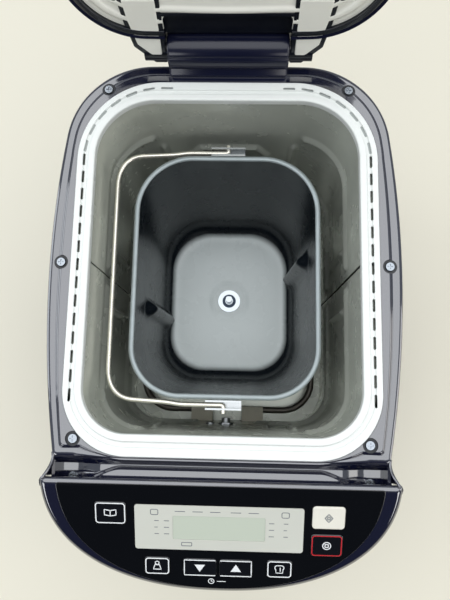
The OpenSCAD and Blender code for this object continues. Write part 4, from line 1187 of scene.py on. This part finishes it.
def make_surround():
    """Room light: an even pale surround, darker over the front where someone would stand at the machine."""
    world = bpy.data.worlds.new("surround")
    world.use_nodes = True
    tree = world.node_tree
    back = tree.nodes["Background"]
    way = add(tree, "ShaderNodeSeparateXYZ", links={"Vector": add(tree,
                                                                  "ShaderNodeTexCoord").outputs["Generated"]})
    behind = add(tree, "ShaderNodeMapRange", {"From Min": -0.75, "From Max": -0.35, "To Min": 0.05,
                                              "To Max": 1.0},
                 {"Value": way.outputs["Y"]})
    room = add(tree, "ShaderNodeMix", {"data_type": "RGBA"}, {"Factor": behind.outputs["Result"]})
    room.inputs[6].default_value = (0.03, 0.03, 0.04, 1)
    room.inputs[7].default_value = (0.88, 0.94, 1.0, 1)
    tree.links.new(room.outputs[2], back.inputs["Color"])
    back.inputs["Strength"].default_value = 0.4
    return world


def make_stage():
    """Camera, floor, soft lights and a pale surround."""
    scene = bpy.context.scene
    scene.view_settings.view_transform = "Standard"
    lens = bpy.data.cameras.new("camera")
    lens.lens, lens.sensor_width, lens.clip_start = 33.28, 36, 0.02
    camera = bpy.data.objects.new("camera", lens)
    turn = (Matrix.Rotation(math.radians(0.97), 4, "Z") @ Matrix.Rotation(math.radians(9.0), 4, "X")
            @ Matrix.Rotation(math.radians(1.52), 4, "Y"))
    place = to_row((12.61, -89.73, DECK_Z + 388.58))
    camera.matrix_world = Matrix.Translation(place.tolist()) @ turn
    scene.collection.objects.link(camera)
    scene.camera = camera

    grid = np.linspace(-3.0, 3.0, 41)
    gx, gy = np.meshgrid(grid, grid)
    mesh = bpy.data.meshes.new("floor")
    mesh.from_pydata(np.column_stack([gx.ravel(), gy.ravel(), np.zeros(gx.size)]).tolist(), [],
                     quads(41, 41, False, False).reshape(-1, 4).tolist())
    floor = bpy.data.objects.new("floor", mesh)
    scene.collection.objects.link(floor)
    # Pale matt vinyl: plain, with a very slight mottle
    mesh.materials.append(make_material("pale_vinyl_floor", scene.bread_machine_colours.floor, 0.55,
                                        cloud=400,
                                        spread=0.02, grain=2.0, relief=0.02))
    scene.world = make_surround()
    target = (0, 0, 0.25)
    area_light("ceiling_light", 41, (2.8, 2.6), (0, 0.35, 1.9), target, (0.97, 0.985, 1.0))
    area_light("window_light", 7, (0.9, 1.2), (-1.6, 0.2, 0.8), target, (0.92, 0.96, 1.0))
    area_light("room_light", 6, (0.9, 1.0), (1.6, -0.3, 0.9), target, (1.0, 0.98, 0.95))
    area_light("left_screen", 3.2, (0.6, 0.5), (-1.05, -1.25, 1.0), target, (0.96, 0.98, 1.0))
    area_light("right_screen", 3.2, (0.6, 0.5), (1.05, -1.25, 1.0), target, (1.0, 0.99, 0.97))


def make_finishes():
    """Gives every frame part that keeps its mesh the material of its finish."""
    for look, parts in PART_FINISH.items():
        for name in parts:
            mesh = frame["nodes"][name].data
            mesh.materials.clear()
            mesh.materials.append(finish(look))


# ---------- add-on ----------
def operator(identifier, label, words, work):
    """An operator class that runs one making function."""
    def execute(self, context):
        work()
        return {"FINISHED"}

    return type("BREADMACHINE_OT_" + identifier, (bpy.types.Operator,), {
        "__doc__": words, "bl_idname": "bread_machine." + identifier, "bl_label": label,
        "bl_options": {"REGISTER", "UNDO"}, "execute": execute})


OPERATORS = [
    operator("stage", "Stage", "Adds the camera, the floor and the lights", make_stage),
    operator("finishes", "Finishes", "Gives the frame's own parts their materials", make_finishes),
    operator("casing", "Casing wall", "Builds the casing's wall with its cooling slots", make_casing),
    operator("deck", "Deck cover", "Builds the stepped deck round the chamber", make_deck),
    operator("rim", "Vent rim", "Builds the white vent rim with its slots", make_rim),
    operator("chamber", "Chamber", "Builds the two beaded sheets of the chamber", make_chamber),
    operator("pan", "Baking pan", "Builds the pan and its rolled edge", make_pan),
    operator("handle", "Handle", "Builds the pan's wire handle", make_handle),
    operator("trough", "Trough", "Builds the groove between deck and panel", make_trough),
    operator("panel", "Panel", "Builds the panel's housing and its film", make_panel),
    operator("keys", "Keys", "Builds the keys and their symbols", make_keys),
    operator("prints", "Prints", "Builds the lines printed on the panel", make_prints),
    operator("hinge", "Hinge cover", "Builds the hinge's barrel cover", make_hinge),
    operator("lid", "Lid", "Builds the lid's dome, frame and liner", make_lid),
]


class BREADMACHINE_PT_panel(bpy.types.Panel):
    """Lists the operators and the values that they read."""
    bl_label = "Bread Machine"
    bl_idname = "BREADMACHINE_PT_panel"
    bl_space_type = "VIEW_3D"
    bl_region_type = "UI"
    bl_category = "Bread Machine"

    def draw(self, context):
        for group in (context.scene.bread_machine_colours, context.scene.bread_machine_sizes):
            for name in group.__annotations__:
                self.layout.prop(group, name)
        for item in OPERATORS:
            self.layout.operator(item.bl_idname)


CLASSES = [BreadMachineColours, BreadMachineSizes, BREADMACHINE_PT_panel, *OPERATORS]


def register():
    """Registers the classes and hangs the two groups of values on the scene."""
    for item in CLASSES:
        bpy.utils.register_class(item)
    bpy.types.Scene.bread_machine_colours = bpy.props.PointerProperty(type=BreadMachineColours)
    bpy.types.Scene.bread_machine_sizes = bpy.props.PointerProperty(type=BreadMachineSizes)


def unregister():
    """Takes the groups and the classes away again."""
    del bpy.types.Scene.bread_machine_colours
    del bpy.types.Scene.bread_machine_sizes
    for item in reversed(CLASSES):
        bpy.utils.unregister_class(item)


def main():
    """Registers the add-on, builds everything in order and writes both boxes."""
    register()
    for item in OPERATORS:
        group, name = item.bl_idname.split(".")
        getattr(getattr(bpy.ops, group), name)()


if __name__ == "__main__":
    main()
